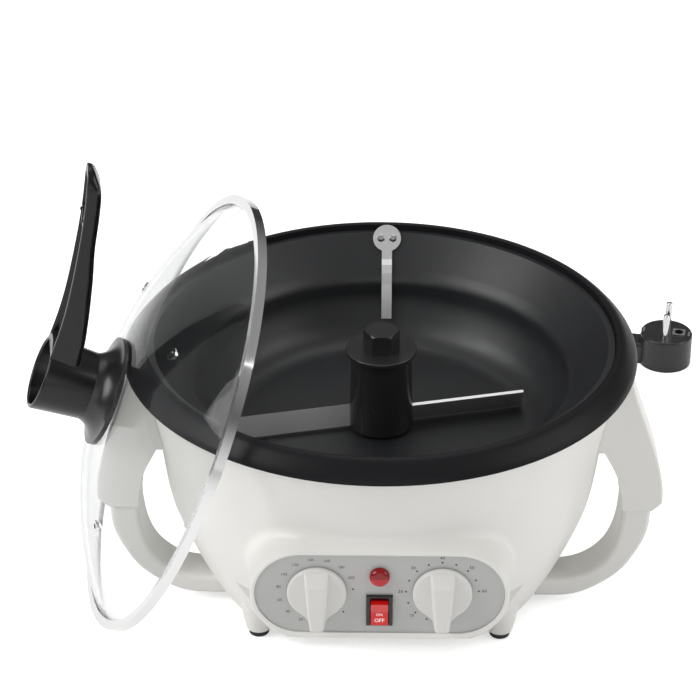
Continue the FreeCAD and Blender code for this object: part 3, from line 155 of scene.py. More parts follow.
class Sheet:
    """The node tree of one material or world."""

    def __init__(self, owner: bpy.types.Material | bpy.types.World) -> None:
        """Empty the owner's tree.

        Args:
            owner: The material or world that the nodes belong to.
        """
        owner.use_nodes = True
        self.tree = owner.node_tree
        self.tree.nodes.clear()

    def node(self, kind: str, settings: dict[str, Any] | None = None,
             sockets: dict[str | int, Operand] | None = None) -> bpy.types.Node:
        """Make one node.

        Args:
            kind: Blender's name of the node type.
            settings: Properties, set before any socket.
            sockets: Constants or values for the inputs.

        Returns:
            The new node.
        """
        made = self.tree.nodes.new(kind)
        for name, setting in (settings or {}).items():
            setattr(made, name, setting)
        for name, operand in (sockets or {}).items():
            self._feed(made.inputs[name], operand)
        return made

    def _feed(self, socket: bpy.types.NodeSocket, operand: Operand) -> None:
        """Link a value to a socket, or set its constant.

        Args:
            socket: The input.
            operand: A value, another node's output or a constant.
        """
        if isinstance(operand, Value):
            self.tree.links.new(operand.socket, socket)
        elif isinstance(operand, bpy.types.NodeSocket):
            self.tree.links.new(operand, socket)
        else:
            socket.default_value = operand

    def value(self, made: bpy.types.Node, name: str | int) -> Value:
        """One of a node's outputs as a value."""
        return Value(self, made.outputs[name])

    def math(self, operation: str, first: Operand, second: Operand) -> Value:
        """A Math node on two operands."""
        made = self.node("ShaderNodeMath", {"operation": operation}, {0: first, 1: second})
        return self.value(made, 0)

    def place(self) -> Value:
        """Object coordinates."""
        return self.value(self.node("ShaderNodeTexCoord"), "Object")

    def rays(self, *kinds: str) -> Value:
        """Mask of kinds of rays.

        Args:
            kinds: Kinds such as Camera or Glossy.

        Returns:
            1 on rays of any of the kinds and 0 on others.
        """
        path = self.node("ShaderNodeLightPath")
        found = [self.value(path, f"Is {kind} Ray") for kind in kinds]
        return functools.reduce(lambda first, second: self.math("MAXIMUM", first, second), found)

    def stretched(self, place: Value, scale: tuple[float, float, float]) -> Value:
        """A place stretched along the axes."""
        made = self.node("ShaderNodeVectorMath", {"operation": "MULTIPLY"}, {0: place, 1: scale})
        return self.value(made, 0)

    def local(self, place: Value, frame: Matrix) -> tuple[Value, Value, Value]:
        """Coordinates of a place in another frame.

        Args:
            place: Object coordinates.
            frame: Matrix from that frame to the object's.

        Returns:
            The three coordinates.
        """
        start = tuple(frame.translation)
        moved = self.node("ShaderNodeVectorMath", {"operation": "SUBTRACT"}, {0: place, 1: start})
        found = []
        for axis in range(3):
            way = tuple(frame.col[axis].to_3d())
            sockets = {0: self.value(moved, 0), 1: way}
            made = self.node("ShaderNodeVectorMath", {"operation": "DOT_PRODUCT"}, sockets)
            found.append(self.value(made, "Value"))
        return found[0], found[1], found[2]

    def joined(self, x: Operand, y: Operand, z: Operand) -> Value:
        """Three values as a vector."""
        return self.value(self.node("ShaderNodeCombineXYZ", {}, {0: x, 1: y, 2: z}), 0)

    def noise(self, place: Value, scale: float, detail: float = 2.0) -> Value:
        """Soft noise from 0 to 1."""
        sockets = {"Vector": place, "Scale": scale, "Detail": detail}
        return self.value(self.node("ShaderNodeTexNoise", {}, sockets), "Fac")

    def cells(self, place: Value, scale: float) -> Value:
        """Distance to the nearest of scattered points."""
        made = self.node("ShaderNodeTexVoronoi", {}, {"Vector": place, "Scale": scale})
        return self.value(made, "Distance")

    def blend(self, share: Value, first: Operand, second: Operand) -> Value:
        """Colour mixed from two by a share."""
        sockets = {MIX_SHARE: share, MIX_FIRST: first, MIX_SECOND: second}
        return self.value(self.node("ShaderNodeMix", {"data_type": "RGBA"}, sockets), MIX_RESULT)

    def shaded(self, share: Value, colour: Colour, shades: tuple[float, float]) -> Value:
        """A colour that goes from one shade of itself to another with a share."""
        return self.blend(share, shade(colour, shades[0]), shade(colour, shades[1]))

    def calmed(self, roughness: Value, extra: float) -> Value:
        """A roughness that is higher on light between matt faces, which makes no sparkles then."""
        return roughness + self.rays("Diffuse") * extra

    def bump(self, height: Value, depth: float, edge: float = 0.0) -> Value:
        """Normal bumped by a height.

        Args:
            height: Height from 0 to 1.
            depth: Depth in metres of a height of 1.
            edge: Radius in metres that sharp edges look rounded by.

        Returns:
            The normal.
        """
        sockets = {"Height": height, "Distance": depth, "Strength": 1.0}
        if edge:
            round_off = self.node("ShaderNodeBevel", {"samples": 4}, {"Radius": edge})
            sockets["Normal"] = self.value(round_off, 0)
        return self.value(self.node("ShaderNodeBump", {}, sockets), 0)

    def surface(self, sockets: dict[str, Operand]) -> None:
        """Principled shader, wired to the output."""
        shader = self.node("ShaderNodeBsdfPrincipled", {}, sockets)
        self.node("ShaderNodeOutputMaterial", {}, {"Surface": shader.outputs[0]})


def tone(red: float, green: float, blue: float) -> Colour:
    """Linear colour of a display colour.

    Args:
        red: Level from 0 to 255, as the others.
        green: Level.
        blue: Level.

    Returns:
        The colour.
    """
    def linear(level: float) -> float:
        """Linear light of one display level."""
        share = level / 255
        return share / 12.92 if share <= 0.04045 else ((share + 0.055) / 1.055) ** 2.4
    return linear(red), linear(green), linear(blue), 1.0


def shade(colour: Colour, factor: float) -> Colour:
    """A colour made lighter or darker."""
    return colour[0] * factor, colour[1] * factor, colour[2] * factor, 1.0


# -------------------------------------------------------------------- finishes
@dataclass(frozen=True)
class Finish:
    """A named material in one main colour; the classes below paint it."""

    name: str
    colour: Colour

    def make(self) -> bpy.types.Material:
        """Build the material.

        Returns:
            The new material.
        """
        made = bpy.data.materials.new(self.name)
        self.paint(Sheet(made))
        return made

    def paint(self, sheet: Sheet) -> None:
        """Add the finish's nodes to its sheet."""
        raise NotImplementedError


@dataclass(frozen=True)
class MouldedPlastic(Finish):
    """Injection moulded plastic with a fine skin and softened edges."""

    roughness: float = 0.25
    spread: float = 0.1
    shine: float = 0.5
    depth: float = 4e-6
    edge: float = 0.0004
    mottle: float = 18.0
    flow: float = 162.0
    grain: float = 2600.0
    grain_share: float = 0.35
    flow_share: float = 0.4
    shades: tuple[float, float] = (0.965, 1.03)
    calm: float = 0.4

    def paint(self, sheet: Sheet) -> None:
        """Mottle the colour and the gloss, and roughen the skin.

        Args:
            sheet: Where the nodes go.
        """
        place = sheet.place()
        mottle = sheet.noise(place, self.mottle, 3.0)
        grain = sheet.noise(place, self.grain, 2.0)
        flow = sheet.noise(place, self.flow, 2.0)
        gloss = self.roughness + mottle.swing(self.spread) + flow.swing(self.spread * self.flow_share)
        sheet.surface({
            "Base Color": sheet.shaded(mottle, self.colour, self.shades),
            "Roughness": sheet.calmed(gloss, self.calm),
            "Normal": sheet.bump(grain * self.grain_share + flow, self.depth, self.edge),
            "Specular IOR Level": self.shine,
        })


@dataclass(frozen=True)
class NonStickCoat(Finish):
    """Black sprayed coating with fine mineral specks."""

    roughness: float = 0.42
    spread: float = 0.12
    depth: float = 7e-6
    edge: float = 0.0005
    cloud: float = 14.0
    peel: float = 700.0
    shades: tuple[float, float] = (0.85, 1.15)
    speck: float = 1100.0
    speck_size: tuple[float, float] = (0.078, 0.13)
    speck_colour: Colour = tone(66, 67, 70)
    speck_gloss: float = 0.08
    speck_height: float = 0.3
    patch: float = 385.0
    patch_levels: tuple[float, float] = (0.45, 0.6)

    def paint(self, sheet: Sheet) -> None:
        """Scatter specks in patches over a skin like orange peel.

        Args:
            sheet: Where the nodes go.
        """
        place = sheet.place()
        cloud = sheet.noise(place, self.cloud, 3.0)
        spots = 1 - sheet.cells(place, self.speck).between(*self.speck_size)
        glint = spots * sheet.noise(place, self.patch, 1.0).between(*self.patch_levels)
        peel = sheet.noise(place, self.peel, 2.0)
        base = sheet.shaded(cloud, self.colour, self.shades)
        sheet.surface({
            "Base Color": sheet.blend(glint, base, self.speck_colour),
            "Roughness": self.roughness + cloud.swing(self.spread) - glint * self.speck_gloss,
            "Normal": sheet.bump(peel + glint * self.speck_height, self.depth, self.edge),
        })


class Lay(Enum):
    """How the polishing lines of a metal run, with the stretch of straight ones."""

    LONG_X = (6.0, 900.0, 900.0)
    LONG_Z = (900.0, 900.0, 6.0)
    TURNED = None


@dataclass(frozen=True)
class WorkedMetal(Finish):
    """Metal with brushed or turned lines."""

    roughness: float = 0.25
    lay: Lay = Lay.LONG_Z
    depth: float = 2.5e-6
    frame: Matrix = field(default_factory=Matrix)
    rings: float = 1500.0
    stain: float = 30.0
    line_spread: float = 0.16
    stain_spread: float = 0.08
    shades: tuple[float, float] = (0.92, 1.0)
    calm: float = 0.5

    def paint(self, sheet: Sheet) -> None:
        """Draw the polishing lines over faint stains.

        Args:
            sheet: Where the nodes go.
        """
        place = sheet.place()
        line = sheet.noise(self.along_lines(sheet, place), 1.0, 3.0)
        stain = sheet.noise(place, self.stain, 3.0)
        gloss = self.roughness + line.swing(self.line_spread) + stain.swing(self.stain_spread)
        sheet.surface({
            "Base Color": sheet.shaded(stain, self.colour, self.shades),
            "Metallic": 1.0,
            "Roughness": sheet.calmed(gloss, self.calm),
            "Normal": sheet.bump(line, self.depth),
        })

    def along_lines(self, sheet: Sheet, place: Value) -> Value:
        """A place that hardly changes along a polishing line.

        Args:
            sheet: Where the nodes go.
            place: Object coordinates.

        Returns:
            The place for the lines' noise.
        """
        if self.lay is Lay.TURNED:
            x, y, z = sheet.local(place, self.frame)
            radius = (x ** 2.0 + y ** 2.0) ** 0.5
            return sheet.joined(radius * self.rings, z * self.rings, 0.0)
        return sheet.stretched(place, self.lay.value)


@dataclass(frozen=True)
class PrintedPlate(Finish):
    """Silver-grey lacquered plate with a faint grain."""

    roughness: float = 0.38
    spread: float = 0.14
    metallic: float = 0.15
    depth: float = 1.5e-6
    grain: tuple[float, float, float] = (30.0, 30.0, 2600.0)
    flake: float = 3000.0
    flake_share: float = 0.4
    shades: tuple[float, float] = (0.93, 1.05)

    def paint(self, sheet: Sheet) -> None:
        """Draw a level grain with flakes in it.

        Args:
            sheet: Where the nodes go.
        """
        place = sheet.place()
        grain = sheet.noise(sheet.stretched(place, self.grain), 1.0, 2.0)
        flake = sheet.noise(place, self.flake, 1.0)
        mixed = grain * (1 - self.flake_share) + flake * self.flake_share
        sheet.surface({
            "Base Color": sheet.shaded(mixed, self.colour, self.shades),
            "Metallic": self.metallic,
            "Roughness": self.roughness + grain.swing(self.spread),
            "Normal": sheet.bump(grain, self.depth),
        })


@dataclass(frozen=True)
class ClearGlass(Finish):
    """Tempered glass with a faint film, with painted shade where it is seen edge on.

    Light on its way to matt faces goes straight through.
    """

    # dark grey painted where the glass is seen edge on: painted shade
    rim: Colour
    painted_edge_shade_power: float = 5.0
    index: float = 1.24
    film: float = 45.0
    film_levels: tuple[float, float] = (0.55, 0.9)
    film_roughness: float = 0.03

    def paint(self, sheet: Sheet) -> None:
        """Paint shade on the glass towards its edges and film it over.

        Args:
            sheet: Where the nodes go.
        """
        film = sheet.noise(sheet.place(), self.film, 4.0).between(*self.film_levels)
        graze = sheet.value(sheet.node("ShaderNodeLayerWeight", {}, {"Blend": 0.5}), "Facing")
        sheet.surface({
            # painted shade: the colour goes to the dark rim colour where the glass is seen edge on
            "Base Color": sheet.blend(graze ** self.painted_edge_shade_power, self.colour, self.rim),
            "Roughness": film * self.film_roughness,
            "IOR": self.index,
            "Transmission Weight": 1.0,
            "Alpha": 1 - sheet.rays("Shadow", "Diffuse"),
        })


@dataclass(frozen=True)
class ColouredLens(Finish):
    """Clear coloured plastic over a lamp or in a lit key.

    The part above the line can be painted darker, as painted shade on the upper half of a lamp's lens.
    """

    through: float = 0.5
    line: float = 1.0
    line_blur: float = 0.0004
    # factor of the painted shade above the line; 1 paints none
    above: float = 1.0
    cloud: float = 260.0
    cloud_share: float = 0.3
    cloud_shade: float = 0.6
    depth: float = 2e-6
    edge: float = 0.0003

    def paint(self, sheet: Sheet) -> None:
        """Colour the lens, with painted shade above its line.

        Args:
            sheet: Where the nodes go.
        """
        place = sheet.place()
        cloud = sheet.noise(place, self.cloud, 2.0)
        height = sheet.local(place, Matrix())[2]
        # painted shade: the colour goes darker above the line
        upper = height.between(self.line - self.line_blur, self.line + self.line_blur)
        base = sheet.shaded(upper, self.colour, (1.0, self.above))
        sheet.surface({
            "Base Color": sheet.blend(cloud * self.cloud_share, base, shade(self.colour, self.cloud_shade)),
            "Roughness": 0.07 + cloud * 0.06,
            "Normal": sheet.bump(cloud, self.depth, self.edge),
            "Transmission Weight": self.through,
            "Specular IOR Level": 0.35,
            "Coat Weight": 0.25,
            "Coat Roughness": 0.04,
        })


@dataclass(frozen=True)
class Rubber(Finish):
    """Soft matt rubber or cord sheath."""

    roughness: float = 0.6
    spread: float = 0.16
    depth: float = 1.2e-5
    grain: float = 1800.0
    dust: float = 60.0
    dust_levels: tuple[float, float] = (0.4, 0.75)
    shades: tuple[float, float] = (1.0, 1.7)

    def paint(self, sheet: Sheet) -> None:
        """Dust a grained skin.

        Args:
            sheet: Where the nodes go.
        """
        place = sheet.place()
        dust = sheet.noise(place, self.dust, 4.0)
        grain = sheet.noise(place, self.grain, 2.0)
        sheet.surface({
            "Base Color": sheet.shaded(dust.between(*self.dust_levels), self.colour, self.shades),
            "Roughness": self.roughness + dust.swing(self.spread),
            "Normal": sheet.bump(grain, self.depth),
        })


@dataclass(frozen=True)
class Ink(Finish):
    """Screen-printed ink."""

    roughness: float = 0.45
    wear: float = 1500.0
    wear_roughness: float = 0.1
    shades: tuple[float, float] = (1.0, 1.5)

    def paint(self, sheet: Sheet) -> None:
        """Thin the ink where it is worn.

        Args:
            sheet: Where the nodes go.
        """
        wear = sheet.noise(sheet.place(), self.wear, 3.0)
        sheet.surface({
            "Base Color": sheet.shaded(wear, self.colour, self.shades),
            "Roughness": self.roughness + wear * self.wear_roughness,
        })


def all_finishes(lid_frame: Matrix) -> dict[str, Finish]:
    """Every finish of the roaster by its slot.

    Args:
        lid_frame: Frame that the lid's turned lines run round.

    Returns:
        The finishes.
    """
    return {
        "white_plastic": MouldedPlastic("white_shell", tone(224, 223, 219), 0.37, 0.06, 0.4),
        "collar_black": MouldedPlastic("black_collar", tone(25, 25, 27), 0.38, 0.1, 0.12, 7e-6, grain=1500.0),
        "nonstick": NonStickCoat("nonstick_pan", tone(27, 28, 30)),
        "rubber": Rubber("foot_rubber", tone(28, 28, 28), 0.7),
        "stainless": WorkedMetal("brushed_stainless", tone(224, 224, 223), 0.42, Lay.LONG_Z),
        "bright_steel": WorkedMetal("polished_steel", tone(222, 222, 222), 0.09, Lay.TURNED, 8e-7, lid_frame),
        "dark_steel": WorkedMetal("dull_steel", tone(120, 120, 120), 0.4, Lay.LONG_X),
        "bronze": WorkedMetal("bronze", tone(176, 132, 76), 0.3, Lay.LONG_Z),
        "black_plastic": MouldedPlastic("black_gloss", tone(35, 35, 36), 0.26, 0.08, 0.45, 3e-6,
                                        grain=2200.0),
        "handle_black": MouldedPlastic("handle_black", tone(18, 18, 19), 0.2, 0.08, 0.35, 3e-6, grain=1800.0),
        "plate_grey": PrintedPlate("control_plate", tone(176, 176, 174)),
        "dial_white": MouldedPlastic("white_dial", tone(214, 213, 210), 0.37, 0.06, 0.4),
        "inner_plastic": MouldedPlastic("inner_plastic", tone(205, 198, 180), 0.5),
        # the lamp's lens is painted darker above its line, as painted shade
        "lamp_red": ColouredLens("lamp_lens", tone(196, 8, 18), 0.1, line=0.0936, above=0.45),
        "rocker_red": ColouredLens("rocker_red", tone(222, 26, 22), 0.05),
        # the glass's dark last colour is painted shade where it is seen edge on
        "clear_glass": ClearGlass("lid_glass_clear", tone(231, 232, 232), tone(58, 58, 60)),
        "cord_black": Rubber("cord_sheath", tone(30, 30, 31), 0.45),
        "ink": Ink("dial_ink", tone(34, 34, 34)),
        "white_ink": Ink("key_ink", tone(244, 240, 236)),
    }


class Finishes:
    """The roaster's materials, made once and looked up by slot."""

    def __init__(self, lid_frame: Matrix) -> None:
        """Make all materials."""
        self.made = {slot: finish.make() for slot, finish in all_finishes(lid_frame).items()}

    def __getitem__(self, slot: str) -> bpy.types.Material:
        """The material of a slot."""
        return self.made[slot]

    def dress_nodes(self, frame: dict[str, Any]) -> None:
        """Give every CAD node its slot's material.
        """
        for part in frame["record"]["subparts"]:
            mesh = frame["nodes"][part["node"]].data
            mesh.materials.clear()
            mesh.materials.append(self.made[part["material_slot"]])


# ---------------------------------------------------------------------- meshes
def linked(name: str, data: bpy.types.ID) -> bpy.types.Object:
    """Object on some data, in the scene.

    Args:
        name: The object's name.
        data: Mesh, curve, lamp or camera.

    Returns:
        The object.
    """
    made = bpy.data.objects.new(name, data)
    bpy.context.scene.collection.objects.link(made)
    return made


def make_mesh(name: str, skin: Skin, sharp: float = 35.0) -> bpy.types.Object:
    """Object with a smooth-shaded mesh and outward faces.

    Args:
        name: The piece's name.
        skin: Vertices in the frame, and the vertex indices of each face.
        sharp: Angle in degrees past which an edge stays sharp.

    Returns:
        The object, linked to the scene.
    """
    points, faces = skin
    shape = bmesh.new()
    corners = [shape.verts.new(point) for point in points]
    for face in faces:
        if len(set(face)) > 2:
            shape.faces.new([corners[index] for index in dict.fromkeys(face)])
    bmesh.ops.remove_doubles(shape, verts=shape.verts, dist=DOUBLE)
    bmesh.ops.recalc_face_normals(shape, faces=shape.faces)
    mesh = bpy.data.meshes.new(name)
    shape.to_mesh(mesh)
    shape.free()
    mesh.shade_smooth()
    mesh.set_sharp_from_angle(angle=math.radians(sharp))
    return linked(name, mesh)


def loft(loops: Sequence[Sequence[Vector]]) -> Skin:
    """Skin over loops of equal length, capped at both ends.

    Args:
        loops: Closed loops, each a list of points.

    Returns:
        Points and faces.
    """
    size = len(loops[0])
    last = (len(loops) - 1) * size
    points = [point for loop in loops for point in loop]
    faces = []
    for low in range(0, last, size):
        high = low + size
        for index in range(size):
            after = (index + 1) % size
            faces.append([low + index, low + after, high + after, high + index])
    faces.append(list(range(size)))
    faces.append([last + index for index in range(size)])
    return points, faces


def lathe(profile: Outline, frame: Matrix, steps: int) -> Skin:
    """Profile turned round a frame's Z axis.

    Args:
        profile: Radius and height of each point.
        frame: The frame.
        steps: Points round the axis.

    Returns:
        Points and faces.
    """
    turn = [math.tau * index / steps for index in range(steps)]
    loops = []
    for radius, height in profile:
        loops.append([frame @ Vector((radius * math.cos(a), radius * math.sin(a), height)) for a in turn])
    return loft(loops)


def together(skins: Sequence[Skin]) -> Skin:
    """Several skins as one.

    Args:
        skins: Points and faces of each.

    Returns:
        Points and faces of all.
    """
    points: list[Vector] = []
    faces: list[list[int]] = []
    for more, sides in skins:
        shift = len(points)
        points += more
        faces += [[index + shift for index in side] for side in sides]
    return points, faces


def eased(share: float) -> float:
    """Smooth step from 0 to 1."""
    x = min(1.0, max(0.0, share))
    return x * x * (3 - 2 * x)


def as_mesh(piece: bpy.types.Object) -> bpy.types.Mesh:
    """Plain mesh of an object that is then thrown away.

    Args:
        piece: Object with modifiers, or a text.

    Returns:
        The mesh that it evaluates to, under its name.
    """
    graph = bpy.context.evaluated_depsgraph_get()
    mesh = bpy.data.meshes.new_from_object(piece.evaluated_get(graph), depsgraph=graph)
    name = piece.name
    bpy.data.objects.remove(piece)
    mesh.name = name
    return mesh


class Workshop:
    """Finishes pieces and sets them on their bodies."""

    def __init__(self, finishes: Finishes) -> None:
        """Keep the finishes."""
        self.finishes = finishes

    def fit(self, piece: bpy.types.Object, slot: str, body: Body,
            stands_for: Iterable[str] = ()) -> bpy.types.Object:
        """Dress a piece and let it ride.

        Args:
            piece: The finished object.
            slot: Name of its finish.
            body: The body it rides on.
            stands_for: CAD nodes that it replaces.

        Returns:
            The piece.
        """
        piece.data.materials.clear()
        piece.data.materials.append(self.finishes[slot])
        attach(piece, body.value)
        nodes = list(stands_for)
        if nodes:
            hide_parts(*nodes)
        LOG.info("%s on %s, %d faces", piece.name, body.value, len(getattr(piece.data, "polygons", [])))
        return piece


# -------------------------------------------------------------- geometry nodes
class Pattern:
    """A Geometry Nodes tree with named inputs, run once on a carrier mesh."""

    def __init__(self, name: str, inputs: dict[str, float | int]) -> None:
        """Start the tree.

        Args:
            name: The tree's name.
            inputs: Named sizes with their values.
        """
        self.tree = bpy.data.node_groups.new(name, "GeometryNodeTree")
        self.sizes = inputs
        face = self.tree.interface
        for label, amount in inputs.items():
            kind = "NodeSocketInt" if isinstance(amount, int) else "NodeSocketFloat"
            face.new_socket(label, in_out="INPUT", socket_type=kind)
        face.new_socket("Geometry", in_out="OUTPUT", socket_type="NodeSocketGeometry")
        self.entry = self.tree.nodes.new("NodeGroupInput")

    def node(self, kind: str, settings: dict[str, Any] | None = None,
             sockets: dict[str | int, Operand] | None = None) -> bpy.types.Node:
        """Make one node.

        Args:
            kind: Blender's name of the node type.
            settings: Properties, set before any socket.
            sockets: Constants or other nodes' outputs for the inputs.

        Returns:
            The new node.
        """
        made = self.tree.nodes.new(kind)
        for name, setting in (settings or {}).items():
            setattr(made, name, setting)
        for name, operand in (sockets or {}).items():
            if isinstance(operand, bpy.types.NodeSocket):
                self.tree.links.new(operand, made.inputs[name])
            else:
                made.inputs[name].default_value = operand
        return made

    def size(self, label: str) -> bpy.types.NodeSocket:
        """Output of a named input."""
        return self.entry.outputs[label]

    def math(self, operation: str, first: Operand, second: Operand = 0.0) -> bpy.types.NodeSocket:
        """Output of a Math node."""
        return self.node("ShaderNodeMath", {"operation": operation}, {0: first, 1: second}).outputs[0]

    def on_ring(self, thing: bpy.types.NodeSocket) -> bpy.types.NodeSocket:
        """Copies of a thing spaced on an arc in the local XY plane.

        The tree's inputs Count, Radius, First Angle and Step Angle place them.

        Args:
            thing: The geometry to copy.

        Returns:
            The copies.
        """
        row = self.node("GeometryNodePoints", {}, {"Count": self.size("Count")})
        number = self.node("GeometryNodeInputIndex").outputs[0]
        turned = self.math("MULTIPLY", number, self.size("Step Angle"))
        angle = self.math("ADD", turned, self.size("First Angle"))
        x = self.math("MULTIPLY", self.math("COSINE", angle), self.size("Radius"))
        y = self.math("MULTIPLY", self.math("SINE", angle), self.size("Radius"))
        spot = self.node("ShaderNodeCombineXYZ", {}, {0: x, 1: y})
        points = self.node("GeometryNodeSetPosition", {}, {
            "Geometry": row.outputs[0], "Position": spot.outputs[0]})
        turn = self.node("ShaderNodeCombineXYZ", {}, {2: angle})
        copies = self.node("GeometryNodeInstanceOnPoints", {}, {
            "Points": points.outputs[0], "Instance": thing, "Rotation": turn.outputs[0]})
        return copies.outputs[0]

    def run(self, name: str, shape: bpy.types.NodeSocket, finish: bpy.types.Material,
            frame: Matrix) -> bpy.types.Object:
        """Realise the tree as a plain mesh in its place.

        Args:
            name: The piece's name.
            shape: The geometry to keep.
            finish: Material set on it.
            frame: Where the tree's own frame lies.

        Returns:
            The plain mesh object.
        """
        real = self.node("GeometryNodeRealizeInstances", {}, {0: shape})
        dressed = self.node("GeometryNodeSetMaterial", {}, {"Geometry": real.outputs[0], "Material": finish})
        leave = self.tree.nodes.new("NodeGroupOutput")
        self.tree.links.new(dressed.outputs[0], leave.inputs[0])
        carrier = linked(name, bpy.data.meshes.new(name))
        modifier = carrier.modifiers.new("pattern", "NODES")
        modifier.node_group = self.tree
        for item in self.tree.interface.items_tree:
            if item.in_out == "INPUT":
                modifier[item.identifier] = self.sizes[item.name]
        mesh = as_mesh(carrier)
        mesh.transform(frame)
        if frame.determinant() < 0:
            mesh.flip_normals()
        mesh.set_sharp_from_angle(angle=math.radians(35))
        return linked(name, mesh)


# ------------------------------------------------------------------ mains cord
@dataclass
class MainsCord:
    """Cord with its tied bundle behind the roaster.

    The winding's steps are stretches of turns, counted from its start.
    """

    exit: tuple[float, float, float] = (0.0, 0.147, 0.030)
    radius: float = 0.0035
    length: float = 1.2
    bundle_centre: tuple[float, float] = (0.0375, 0.235)
    outer_turn: float = 0.0442
    pitch: float = 0.0071
    low_layer: float = 0.0036
    high_layer: float = 0.0108
    turns: float = 4.25
    turn_points: int = 16
    steps_inwards: Sequence[tuple[float, float]] = ((0.72, 0.95), (1.47, 1.7))
    climb: tuple[float, float] = (2.15, 2.42)
    outwards_from: float = 2.45
    outwards_pitch: float = 1.04

    def lead(self) -> list[Vector]:
        """Route from the strain relief to the bundle.

        Returns:
            Control points.
        """
        return [
            Vector(self.exit),
            Vector((0.0, 0.169, 0.030)),
            Vector((-0.0028, 0.200, 0.0095)),
        ]

    def tail(self) -> list[Vector]:
        """Route from the bundle to the plug.

        Returns:
            Control points.
        """
        return [
            Vector((0.0675, 0.2760, 0.0055)),
            Vector((0.0994, 0.28487, 0.0036)),
            Vector((0.13266, 0.2778, 0.008)),
            Vector((0.14831, 0.27447, 0.008)),
        ]

    def turn_place(self, share: float) -> tuple[float, float]:
        """Radius and height of the winding after a number of turns.

        The first turns lie side by side on the floor, each stepping inwards
        before it meets the one before; the rest climbs and winds out on top.

        Args:
            share: Turns from the start.

        Returns:
            Radius and height.
        """
        inwards = sum(eased((share - start) / (end - start)) for start, end in self.steps_inwards)
        radius = self.outer_turn - inwards * self.pitch
        start, end = self.climb
        rise = eased((share - start) / (end - start))
        height = self.low_layer + rise * (self.high_layer - self.low_layer)
        outwards = max(0.0, share - self.outwards_from) * self.pitch * self.outwards_pitch
        return radius + outwards, height

    def bundle(self) -> list[Vector]:
        """Points of the turns, wound clockwise from the left.

        Returns:
            Control points, set out so that the curve between them keeps the radius.
        """
        x, y = self.bundle_centre
        reach = 1 / math.cos(math.pi / self.turn_points)
        found = []
        for index in range(int(self.turns * self.turn_points) + 1):
            share = index / self.turn_points
            radius, height = self.turn_place(share)
            angle = math.pi - math.tau * share
            spot = (x + radius * reach * math.cos(angle), y + radius * reach * math.sin(angle), height)
            found.append(Vector(spot))
        return found

    def build(self, shop: Workshop, frame: dict[str, Any]) -> bpy.types.Object:
        """Args:
            shop: Workshop that finishes it.

        Returns:
            The cord.
        """
        route = self.lead() + self.bundle() + self.tail()
        curve = bpy.data.curves.new("mains_cord", "CURVE")
        curve.dimensions = "3D"
        curve.bevel_depth = self.radius
        curve.bevel_resolution = 5
        curve.resolution_u = 5
        curve.use_fill_caps = True
        line = curve.splines.new("NURBS")
        line.points.add(len(route) - 1)
        for point, spot in zip(line.points, route):
            point.co = (*spot, 1.0)
        line.order_u = 3
        line.use_endpoint_u = True
        cord = linked("mains_cord", curve)
        shop.fit(cord, "cord_black", Body.ROASTER, ("cord_lead", "cord_tail", "cord_coil"))
        return cord


